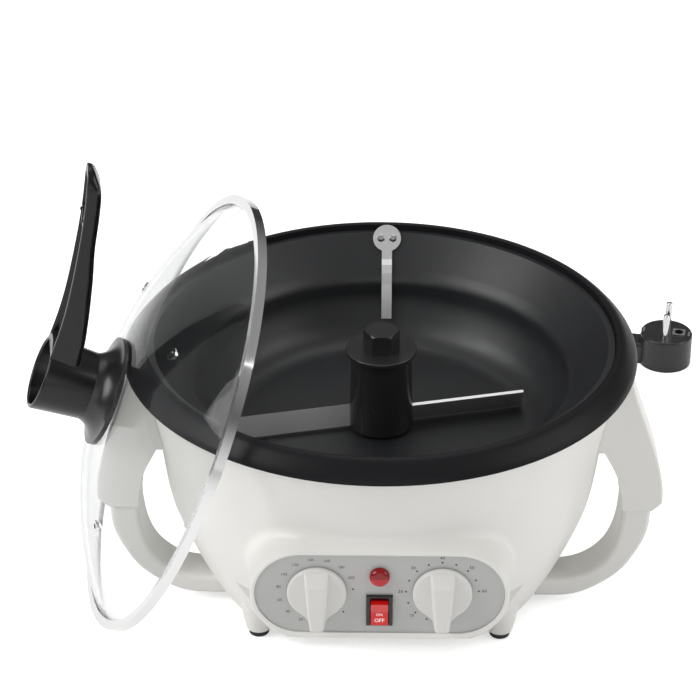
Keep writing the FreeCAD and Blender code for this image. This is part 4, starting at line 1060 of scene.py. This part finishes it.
# ------------------------------------------------------------------- controls
@dataclass
class Knob:
    """Round knob whose skirt runs out into a pointer, with a tapered bar grip.

    Its outline lies across and up from the axis, its depths from the back.
    """

    name: str
    node: str
    body: Body
    radius: float = 0.0168
    tail_reach: float = 0.0230
    tail_half: float = 0.0046
    tail_corner: float = 0.0009
    neck_half: float = 0.0051
    neck_end: float = 0.0196
    neck_angle: float = 37.0
    skirt: float = 0.0026
    edge: float = 0.0011
    front_lift: float = 0.0001
    front_inset: float = 0.0020
    rise: float = 0.0066
    bar_top: float = 0.0146
    bar_half: float = 0.0064
    bar_taper: float = 0.034
    bar_end: float = 0.0016
    slope: float = 0.0062
    slope_round: float = 0.12
    squareness: float = 0.26
    flare: float = 0.0007
    sunk: float = 0.0006

    def outline(self) -> list[tuple[float, float]]:
        """Outline of the skirt, a circle that runs out into the pointer.

        Returns:
            Points from the pointer's right side round to its lower end.
        """
        leave = math.radians(self.neck_angle)
        arc_steps = 96
        found = []
        for index in range(arc_steps + 1):
            a = -math.pi / 2 + leave + (math.tau - 2 * leave) * index / arc_steps
            found.append((self.radius * math.cos(a), self.radius * math.sin(a)))
        left = self.fillet(found[-1])[1:]
        for across, up in ((0.0, 1.0), (0.3, 0.3), (1.0, 0.0)):
            left.append((across * self.tail_corner - self.tail_half, up * self.tail_corner - self.tail_reach))
        return found + left + [(-x, z) for x, z in reversed(left)]

    def fillet(self, start: tuple[float, float]) -> list[tuple[float, float]]:
        """Hollow curve from the circle, along its tangent, into the pointer's left side.

        Args:
            start: Where the circle ends.

        Returns:
            Points of the curve.
        """
        run = (-self.neck_half - start[0]) / -start[1]
        corner = (-self.neck_half, start[1] + run * start[0])
        end = (-self.neck_half, -self.neck_end)
        steps = 10
        found = []
        for index in range(steps + 1):
            t = index / steps
            found.append(tuple(
                (1 - t) ** 2 * s + 2 * t * (1 - t) * c + t * t * e for s, c, e in zip(start, corner, end)))
        return found

    def build(self, shop: Workshop) -> bpy.types.Object:
        """Make the knob and let it stand for its node.

        Args:
            shop: Workshop that finishes it.

        Returns:
            The knob.
        """
        low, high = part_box(self.node)
        back = ((low.x + high.x) / 2, high.y, high.z - self.radius)
        knob = make_mesh(self.name, together([self.skirt_skin(back), self.bar_skin(back)]), 40.0)
        return shop.fit(knob, "dial_white", self.body, (self.node,))

    def skirt_skin(self, back: tuple[float, float, float]) -> Skin:
        """The skirt, its outline lofted to the rounded front edge.

        Args:
            back: Where the axis meets the knob's back.

        Returns:
            Points and faces.
        """
        x, y, z = back
        ring = self.outline()
        size = len(ring)
        loops = []
        for depth, inset in self.skirt_steps():
            loop = []
            for index, (px, pz) in enumerate(ring):
                ax, az = ring[index - 1]
                bx, bz = ring[(index + 1) % size]
                way = Vector((bz - az, ax - bx)).normalized()
                loop.append(Vector((x + px - way.x * inset, y - depth, z + pz - way.y * inset)))
            loops.append(loop)
        return loft(loops)

    def skirt_steps(self) -> list[tuple[float, float]]:
        """Steps of the skirt from its back to its front.

        Returns:
            Depth and inset of each loop.
        """
        steps = 6
        found = [(0.0, 0.0)]
        for index in range(steps + 1):
            a = math.pi / 2 * index / steps
            depth = self.skirt - self.edge + self.edge * math.sin(a)
            found.append((depth, self.edge * (1 - math.cos(a))))
        found.append((self.skirt + self.front_lift, self.edge + self.front_inset))
        return found

    def ramp(self, share: float) -> float:
        """Straight slope with its top corner rounded.

        Args:
            share: Place along the slope, 1 at its end.

        Returns:
            Height from 0 to 1.
        """
        soft = self.slope_round
        if share < 1 - soft:
            return max(0.0, share)
        return 1 - max(0.0, 1 + soft - share) ** 2 / (4 * soft)

    def bar_skin(self, back: tuple[float, float, float]) -> Skin:
        """The grip, lofted from arches along its length.

        Args:
            back: Where the axis meets the knob's back.

        Returns:
            Points and faces.
        """
        x, y, z = back
        rows = 56
        bottom = self.sunk - self.tail_reach
        foot = y - self.skirt + self.sunk
        loops = []
        for row in range(rows + 1):
            share = 0.5 - 0.5 * math.cos(math.pi * (row / rows))
            along = self.bar_top + (bottom - self.bar_top) * share
            arch = self.arch(self.bar_top - along, along - bottom)
            loops.append([Vector((x + width, foot - lift, z + along)) for width, lift in arch])
        return loft(loops)

    def arch(self, down: float, left: float) -> list[tuple[float, float]]:
        """One arch over the grip, lower on the slope and at the pointer's end.

        Args:
            down: Distance from the grip's upper end.
            left: Distance to its lower end.

        Returns:
            Width and lift of each point.
        """
        steps = 32
        taper = min(1.0, down / self.bar_taper) ** 1.5
        closing = min(1.0, left / self.bar_end)
        height = self.rise * self.ramp(down / self.slope) * math.sqrt(max(0.0, 1 - (1 - closing) ** 2))
        half = self.bar_half + (self.tail_half - self.sunk - self.bar_half) * taper
        half *= 0.9 + 0.1 * min(1.0, 0.5 + closing / 2)
        found = []
        for step in range(steps + 1):
            c, s = math.cos(math.pi * step / steps), math.sin(math.pi * step / steps)
            lift = abs(s) ** self.squareness
            width = half * math.copysign(abs(c) ** self.squareness, c)
            width += math.copysign(self.flare * (1 - lift), c)
            found.append((width, (height + self.sunk) * lift))
        return found


@dataclass
class DialPrint:
    """Printed dots and numbers round one knob."""

    name: str
    centre: tuple[float, float]
    front: float
    first: float
    step: float
    dots: int
    labels: Sequence[str]
    label_every: int = 1
    label_first: int = 0
    dot_ring: float = 0.0205
    label_ring: float = 0.0236
    dot: float = 0.00058
    height: float = 0.0021
    ink: float = 0.00006

    def frame(self) -> Matrix:
        """Frame on the plate: X runs down, Y to the viewer's left, Z out.

        Returns:
            Matrix from it to the roaster's frame.
        """
        x, z = self.centre
        turn = Matrix(((0, -1, 0, 0), (0, 0, -1, 0), (-1, 0, 0, 0), (0, 0, 0, 1)))
        return Matrix.Translation((x, self.front, z)) @ turn

    def build(self, shop: Workshop) -> None:
        """Print the dots, then the numbers.

        Args:
            shop: Workshop that finishes them.
        """
        if self.dots:
            tree = Pattern(self.name + "_dots", {
                "Count": self.dots, "Radius": self.dot_ring, "First Angle": math.radians(self.first),
                "Step Angle": math.radians(self.step), "Dot Radius": self.dot, "Ink": self.ink})
            disc = tree.node("GeometryNodeMeshCylinder", {}, {
                "Vertices": 16, "Radius": tree.size("Dot Radius"), "Depth": tree.size("Ink")})
            copies = tree.on_ring(disc.outputs[0])
            dots = tree.run(self.name + "_dots", copies, shop.finishes["ink"], self.frame())
            shop.fit(dots, "ink", Body.ROASTER)
        places = []
        for index, label in enumerate(self.labels):
            angle = math.radians(self.first + self.step * (self.label_first + index * self.label_every))
            x = self.centre[0] - self.label_ring * math.sin(angle)
            z = self.centre[1] - self.label_ring * math.cos(angle)
            upright = Matrix.Translation((x, self.front, z)) @ Matrix.Rotation(math.pi / 2, 4, "X")
            places.append((label, upright, self.height))
        if places:
            print_words(self.name + "_numbers", places, self.ink, shop, "ink", Body.ROASTER)


def print_words(name: str, places: Sequence[tuple[str, Matrix, float]], ink: float,
                shop: Workshop, slot: str, body: Body) -> bpy.types.Object:
    """Printed characters, centred on their places, as one mesh.

    Args:
        name: The piece's name.
        places: Text, frame with X along the line and Z out of the surface, and letter height.
        ink: Thickness of the print.
        shop: Workshop that finishes the piece.
        slot: Finish of the ink.
        body: Body it rides on.

    Returns:
        The piece.
    """
    joined = bmesh.new()
    for text, frame, height in places:
        curve = bpy.data.curves.new(name, "FONT")
        curve.body = text
        curve.size = height * TYPE_SIZE
        curve.align_x = "CENTER"
        curve.align_y = "CENTER"
        curve.extrude = ink / 2
        curve.resolution_u = 2
        mesh = as_mesh(linked(name + "_type", curve))
        mesh.transform(frame)
        joined.from_mesh(mesh)
        bpy.data.meshes.remove(mesh)
    bmesh.ops.remove_doubles(joined, verts=joined.verts, dist=DOUBLE)
    mesh = bpy.data.meshes.new(name)
    joined.to_mesh(mesh)
    joined.free()
    return shop.fit(linked(name, mesh), slot, body)


@dataclass
class ControlPod:
    """Everything on the control plate."""

    knob_x: float = 0.0354
    knob_z: float = 0.0823
    key_ink: float = 0.00005
    key_clear: float = 0.01
    # text, place above the key's middle and letter height
    key_marks: Sequence[tuple[str, float, float]] = (("ON", -0.0012, 0.0017), ("OFF", -0.0048, 0.0024))

    def build(self, shop: Workshop, frame: dict[str, Any]) -> None:
        """Make the knobs, the dial prints and the marks on the key.

        Args:
            shop: Workshop that finishes them.
        """
        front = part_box("control_plate")[0].y
        left, right = (-self.knob_x, self.knob_z), (self.knob_x, self.knob_z)
        Knob("thermostat_dial", "thermostat_knob", Body.THERMOSTAT).build(shop)
        Knob("timer_dial", "timer_knob", Body.TIMER).build(shop)
        minutes = [str(10 * index) for index in range(1, 7)]
        degrees = [str(20 * index) for index in range(1, 11)]
        DialPrint("timer", right, front, first=25.0, step=22.0, dots=12, labels=minutes,
                  label_every=2, label_first=1).build(shop)
        DialPrint("thermostat", left, front, first=25.0, step=24.3, dots=0, labels=degrees,
                  label_ring=0.0217, height=0.0019).build(shop)
        DialPrint("thermostat_stops", left, front, first=265.0, step=48.0, dots=2, labels=[]).build(shop)
        self.mark_key(shop, frame["nodes"]["rocker"])

    def mark_key(self, shop: Workshop, key: bpy.types.Object) -> None:
        """Print the marks on the faces of the rocker's key.

        Args:
            shop: Workshop that finishes them.
            key: The key's CAD node.
        """
        low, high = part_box("rocker")
        middle = (low + high) / 2
        places = []
        for text, up, height in self.key_marks:
            start = Vector((middle.x, low.y - self.key_clear, middle.z + up))
            hit, spot, out, _ = key.ray_cast(start, Vector((0.0, 1.0, 0.0)))
            if not hit:
                raise RuntimeError("the key has no face behind its mark")
            right = Vector((1.0, 0.0, 0.0))
            turn = Matrix((right, out.cross(right), out)).transposed().to_4x4()
            places.append((text, Matrix.Translation(spot) @ turn, height))
        print_words("key_marks", places, self.key_ink, shop, "white_ink", Body.ROCKER)


# ------------------------------------------------------------------- glass lid
@dataclass
class GlassLid:
    """Where the lid leans, as in the frame, and what is shaped on it."""

    centre: tuple[float, float, float] = (-0.127495, -0.018437, 0.125838)
    azimuth: float = 9.0
    lean: float = 24.0

    def frame(self) -> Matrix:
        """Frame of the lid, X up the handle and Z out of the dome.

        Returns:
            Matrix from it to the roaster's frame.
        """
        a, b = math.radians(self.azimuth), math.radians(self.lean)
        out = Vector((-math.cos(b) * math.cos(a), -math.cos(b) * math.sin(a), math.sin(b)))
        up = (Vector((0, 0, 1)) - out * out.z).normalized()
        side = out.cross(up)
        turn = Matrix((up, side, out)).transposed().to_4x4()
        return Matrix.Translation(self.centre) @ turn

    def build(self, shop: Workshop) -> None:
        """Make the grip."""
        LidHandle(self.frame()).build(shop)


@dataclass
class LidHandle:
    """Open cup and hollowed arm of the lid's handle.

    In the lid's frame X runs up the arm and Z out of the dome.  Neck, mouth
    and floor are radii and heights, channel and scoop are start, end and
    depth of the hollows.
    """

    frame: Matrix
    neck: tuple[float, float] = (0.0205, 0.0522)
    mouth: tuple[float, float] = (0.0225, 0.0822)
    floor: tuple[float, float] = (0.0186, 0.0687)
    floor_round: Outline = ((0.0003, 0.0016), (-0.0004, 0.0005), (-0.0016, 0.0))
    wall: float = 0.0026
    width: float = 0.029
    tip_width: float = 0.024
    end: float = 0.1355
    corner: float = 0.0012
    belly: float = 0.0042
    flank: float = 0.0027
    channel: tuple[float, float, float] = (0.0235, 0.1020, 0.0040)
    scoop: tuple[float, float, float] = (0.1072, 0.1300, 0.0046)
    blend: float = 0.0020
    hollow_edge: float = 0.0012
    tip_round: float = 0.0024
    root_fade: float = 0.014
    lip_place: float = 0.1046
    lip_radius: float = 0.0010
    lip_knuckle: float = 1.35
    lip_neck: float = 0.002
    lip_pole: float = 1e-5

    # place up the arm and height of its edges, in millimetres
    OUTER = [
        (0.0, 82.2), (24.0, 82.4), (50.0, 84.6), (82.0, 90.0), (108.0, 95.6), (133.0, 102.5), (136.0, 103.3)]
    INNER = [
        (0.0, 62.6), (20.0, 63.6), (44.0, 68.6), (70.0, 75.6), (90.0, 81.8), (112.0, 87.2), (126.0, 91.8),
        (133.5, 97.8), (136.0, 99.9)]

    def build(self, shop: Workshop) -> bpy.types.Object:
        """Loft the arm between its edges and set it on the cup.

        Args:
            shop: Workshop that finishes it.

        Returns:
            The grip.
        """
        arm = loft([self.section(along) for along in self.stations()])
        cup = lathe(self.cup_profile(), self.frame, 128)
        lip = lathe(self.lip_profile(), self.lip_frame(), 20)
        grip = make_mesh("lid_grip", together([arm, cup, lip]), 38.0)
        return shop.fit(grip, "handle_black", Body.LID, ("lid_handle",))

    def cup_profile(self) -> list[tuple[float, float]]:
        """Profile of the cup, with a full round rim.

        Returns:
            Radius and height of each point.
        """
        half = self.wall / 2
        steps = 12
        rim = []
        for index in range(steps + 1):
            a = math.pi * index / steps
            rim.append((self.mouth[0] - half + half * math.cos(a), self.mouth[1] - half + half * math.sin(a)))
        radius, depth = self.floor
        foot = [(radius + out, depth + up) for out, up in self.floor_round]
        return [(POLE, self.neck[1]), self.neck, *rim, *foot, (POLE, depth)]

    def lip_profile(self) -> list[tuple[float, float]]:
        """Profile of the bar across the arm, with a knuckle at each end.

        Returns:
            Radius and place across of each point.
        """
        half = self.half(self.lip_place) - 1.6 * self.flank
        ball = self.lip_knuckle * self.lip_radius
        steps = 8
        end = []
        for index in range(steps + 1):
            a = math.pi * index / steps
            end.append((ball * math.sin(a), half - ball * math.cos(a)))
        waist = [(self.lip_radius, place) for place in (half - self.lip_neck, 0.0, self.lip_neck - half)]
        # the last two points of a ball give way to the waist
        near = [(max(radius, self.lip_pole), place) for radius, place in reversed(end)][:-2]
        return near + waist + [(radius, -place) for radius, place in reversed(near)]

    def lip_frame(self) -> Matrix:
        """Frame of the bar, its Z across the arm.

        Returns:
            Matrix from it to the roaster's frame.
        """
        height = self.height(self.OUTER, self.lip_place) - 0.3 * self.lip_radius
        spot = Matrix.Translation((self.lip_place, 0.0, height))
        return self.frame @ spot @ Matrix.Rotation(math.pi / 2, 4, "X")

    def stations(self) -> list[float]:
        """Places up the arm of its sections, close together at its bends.

        Returns:
            The places, from the cup to the tip.
        """
        start = self.mouth[0] - self.wall / 2
        found = [start + (self.end - start) * index / 72 for index in range(72)]
        for low, high, _ in (self.channel, self.scoop):
            found += [low + self.blend * index / 5 for index in range(6)]
            found += [high - self.blend * index / 5 for index in range(6)]
        tip = self.tip_width / 2
        found += [self.end - tip + tip * math.sin(math.pi / 2 * index / 18) for index in range(19)]
        kept: list[float] = []
        for along in sorted(found):
            if not kept or along - kept[-1] > NEAREST:
                kept.append(along)
        return kept

    @staticmethod
    def height(edge: Outline, along: float) -> float:
        """Height of an edge, on a smooth curve through its points.

        Args:
            edge: Place and height of each point, in millimetres.
            along: Place up the arm.

        Returns:
            The height.
        """
        spots = [(u * MM, w * MM) for u, w in edge]
        last = len(spots) - 1

        def slope(index: int) -> float:
            """Slope at one of the edge's points."""
            low, high = spots[max(index - 1, 0)], spots[min(index + 1, last)]
            return (high[1] - low[1]) / (high[0] - low[0])

        index = max(0, min(last - 1, sum(u < along for u, _ in spots) - 1))
        (u0, w0), (u1, w1) = spots[index], spots[index + 1]
        run = u1 - u0
        t = (along - u0) / run
        return ((1 + 2 * t) * (1 - t) ** 2 * w0 + t * (1 - t) ** 2 * run * slope(index)
                + t * t * (3 - 2 * t) * w1 + t * t * (t - 1) * run * slope(index + 1))

    def half(self, along: float) -> float:
        """Half the arm's width, rounded off at the tip.

        Args:
            along: Place up the arm.

        Returns:
            Half the width.
        """
        near, far = self.width / 2, self.tip_width / 2
        bend = self.end - far
        if along < bend:
            return near + (far - near) * along / bend
        return math.sqrt(max(1e-7, far ** 2 - (along - bend) ** 2))

    def depth(self, along: float) -> float:
        """Depth of the hollows in the outer face.

        Args:
            along: Place up the arm.

        Returns:
            The depth.
        """
        found = 0.0
        for low, high, depth in (self.channel, self.scoop):
            found = max(found, depth * eased((along - low) / self.blend) * eased((high - along) / self.blend))
        return found

    def section(self, along: float) -> list[Vector]:
        """Section of the arm, hollowed outside and rounded below.

        Towards the tip its roundings and flanks shrink with it.

        Args:
            along: Place up the arm.

        Returns:
            A closed loop, bent round the cup at the arm's root.
        """
        outer, inner = self.height(self.OUTER, along), self.height(self.INNER, along)
        blunt = min(1.0, (self.end - along) / self.tip_round)
        middle = (outer + inner) / 2
        thick = (outer - inner) / 2 * math.sqrt(max(0.02, 1 - (1 - blunt) ** 2))
        half = self.half(along)
        corner = min(self.corner, 0.4 * half, 0.8 * thick)
        belly = min(self.belly, 0.6 * half, 0.9 * thick)
        flank = min(self.flank, 0.5 * half)
        step = min(self.hollow_edge, 0.25 * half)
        rim = half - flank
        side = [half - corner] + [rim + step * share for share in (0.5, 0.3, 0.1, -0.1, -0.3, -0.5)]
        side += [(rim - 0.5 * step) * share for share in (0.66, 0.33)]
        across = side + [0.0] + [-y for y in reversed(side)]
        depth = self.depth(along)
        top = [(y, middle + thick - depth * eased((rim + 0.5 * step - abs(y)) / step)) for y in across]
        steps = 5
        quarter = [math.pi / 2 * index / steps for index in range(1, steps + 1)]
        turn = [(half - corner + corner * math.sin(a), middle + thick - corner + corner * math.cos(a))
                for a in quarter]
        turn += [(half - belly + belly * math.cos(a), middle - thick + belly - belly * math.sin(a))
                 for a in [0.0, *quarter]]
        under = [(half - belly) * share for share in (0.5, 0.0, -0.5)]
        other_turn = [(-y, w) for y, w in turn]
        loop = top + other_turn + [(-y, middle - thick) for y in under] + turn[::-1]
        bend = self.mouth[0] - self.wall / 2
        fade = 1 - eased((along - bend) / self.root_fade)
        found = []
        for y, w in loop:
            found.append(self.frame @ Vector((along + (math.sqrt(bend ** 2 - y ** 2) - bend) * fade, y, w)))
        return found


# ---------------------------------------------------------------------- studio
@dataclass(frozen=True)
class Lamp:
    """Square soft lamp aimed at the pan."""

    name: str
    spot: tuple[float, float, float]
    size: float
    power: float
    target: tuple[float, float, float] = (0.0, 0.0, 0.1)

    def build(self) -> None:
        """Hang the lamp."""
        data = bpy.data.lights.new(self.name, "AREA")
        data.size = self.size
        data.energy = self.power
        lamp = linked(self.name, data)
        lamp.location = self.spot
        aim = Vector(self.target) - Vector(self.spot)
        lamp.rotation_euler = aim.to_track_quat("-Z", "Y").to_euler()


@dataclass(frozen=True)
class Mirrored:
    """How bright the room is in shiny faces, round about and added on some sides."""

    about: float = 0.05
    above: float = 0.3
    above_levels: tuple[float, float] = (0.15, 0.75)
    left: float = 0.05
    left_levels: tuple[float, float] = (0.3, 0.9)
    front: float = 1.3
    front_levels: tuple[float, float] = (0.7, 1.0)

    def light(self, sheet: Sheet) -> Value:
        """Brightness towards each side.

        Args:
            sheet: The world's sheet.

        Returns:
            The brightness.
        """
        way = sheet.value(sheet.node("ShaderNodeTexCoord"), "Generated")
        x, y, z = sheet.local(way, Matrix())
        above = z.between(*self.above_levels) * self.above
        left = (0 - x).between(*self.left_levels) * self.left
        front = (0 - y).between(*self.front_levels) * self.front
        return self.about + above + left + front


@dataclass
class Studio:
    """Floor, world, lamps and camera."""

    stand: tuple[float, float, float] = (0.0, -1.1933, 0.8471)
    pitch: float = 30.014
    yaw: float = 0.9076
    lens_pixels: float = 2296.0
    image: float = 700.0
    sensor: float = 36.0
    soft: float = 0.53
    mirrored: Mirrored = Mirrored()
    floor_half: float = 30.0
    floor_tone: float = 0.9
    floor_mirrored: float = 0.2
    lamps: Sequence[Lamp] = (
        Lamp("key", (-1.7, -0.5, 1.4), 1.3, 29.0),
        Lamp("fill", (1.7, -0.3, 1.0), 1.3, 13.0),
        Lamp("top", (0.1, 0.7, 2.0), 1.4, 8.0),
    )

    def build(self) -> None:
        """Make everything around the object."""
        self.floor()
        self.world()
        for lamp in self.lamps:
            lamp.build()
        self.camera()

    def floor(self) -> None:
        """Pale sheet that keeps the object's shadow and is white to its far edge."""
        made = bpy.data.materials.new("studio_floor")
        made.cycles.emission_sampling = "NONE"
        sheet = Sheet(made)
        glow = sheet.rays("Camera", "Transmission") * (1 - self.floor_tone * self.soft)
        sheet.surface({
            "Base Color": shade(WHITE, self.floor_tone),
            "Roughness": 0.9,
            "Specular IOR Level": 0.0,
            "Emission Color": WHITE,
            "Emission Strength": glow + sheet.rays("Glossy") * self.floor_mirrored,
        })
        sides = ((-1, -1), (1, -1), (1, 1), (-1, 1))
        corners = [Vector((x * self.floor_half, y * self.floor_half, 0.0)) for x, y in sides]
        floor = make_mesh("studio_floor", (corners, [[0, 1, 2, 3]]))
        if floor.data.polygons[0].normal.z < 0:
            floor.data.flip_normals()
        floor.data.materials.append(made)

    def world(self) -> None:
        """White to the eye, soft light on matt faces, banded light in polished ones."""
        world = bpy.data.worlds.new("studio")
        bpy.context.scene.world = world
        sheet = Sheet(world)
        seen = sheet.rays("Camera", "Transmission")
        shiny = sheet.rays("Glossy")
        light = self.mirrored.light(sheet) * shiny + (1 - shiny) * self.soft
        strength = seen + (1 - seen) * light
        sky = sheet.node("ShaderNodeBackground", {}, {"Color": WHITE, "Strength": strength})
        sheet.node("ShaderNodeOutputWorld", {}, {"Surface": sky.outputs[0]})

    def camera(self) -> None:
        """Camera in front of the pod, above the collar."""
        data = bpy.data.cameras.new("camera")
        data.sensor_width = self.sensor
        data.lens = self.sensor * self.lens_pixels / self.image
        camera = linked("camera", data)
        camera.location = self.stand
        camera.rotation_euler = (math.radians(90 - self.pitch), 0.0, math.radians(self.yaw))
        bpy.context.scene.camera = camera


def main() -> None:
    """Load the frame, dress it and build every piece."""
    logging.basicConfig(level=logging.INFO, format="%(name)s: %(message)s")
    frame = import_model()
    Studio().build()
    lid = GlassLid()
    finishes = Finishes(lid.frame())
    finishes.dress_nodes(frame)
    shop = Workshop(finishes)
    MainsCord().build(shop, frame)
    ControlPod().build(shop, frame)
    lid.build(shop)
    bpy.context.scene.view_settings.view_transform = "Standard"


if __name__ == "__main__":
    main()
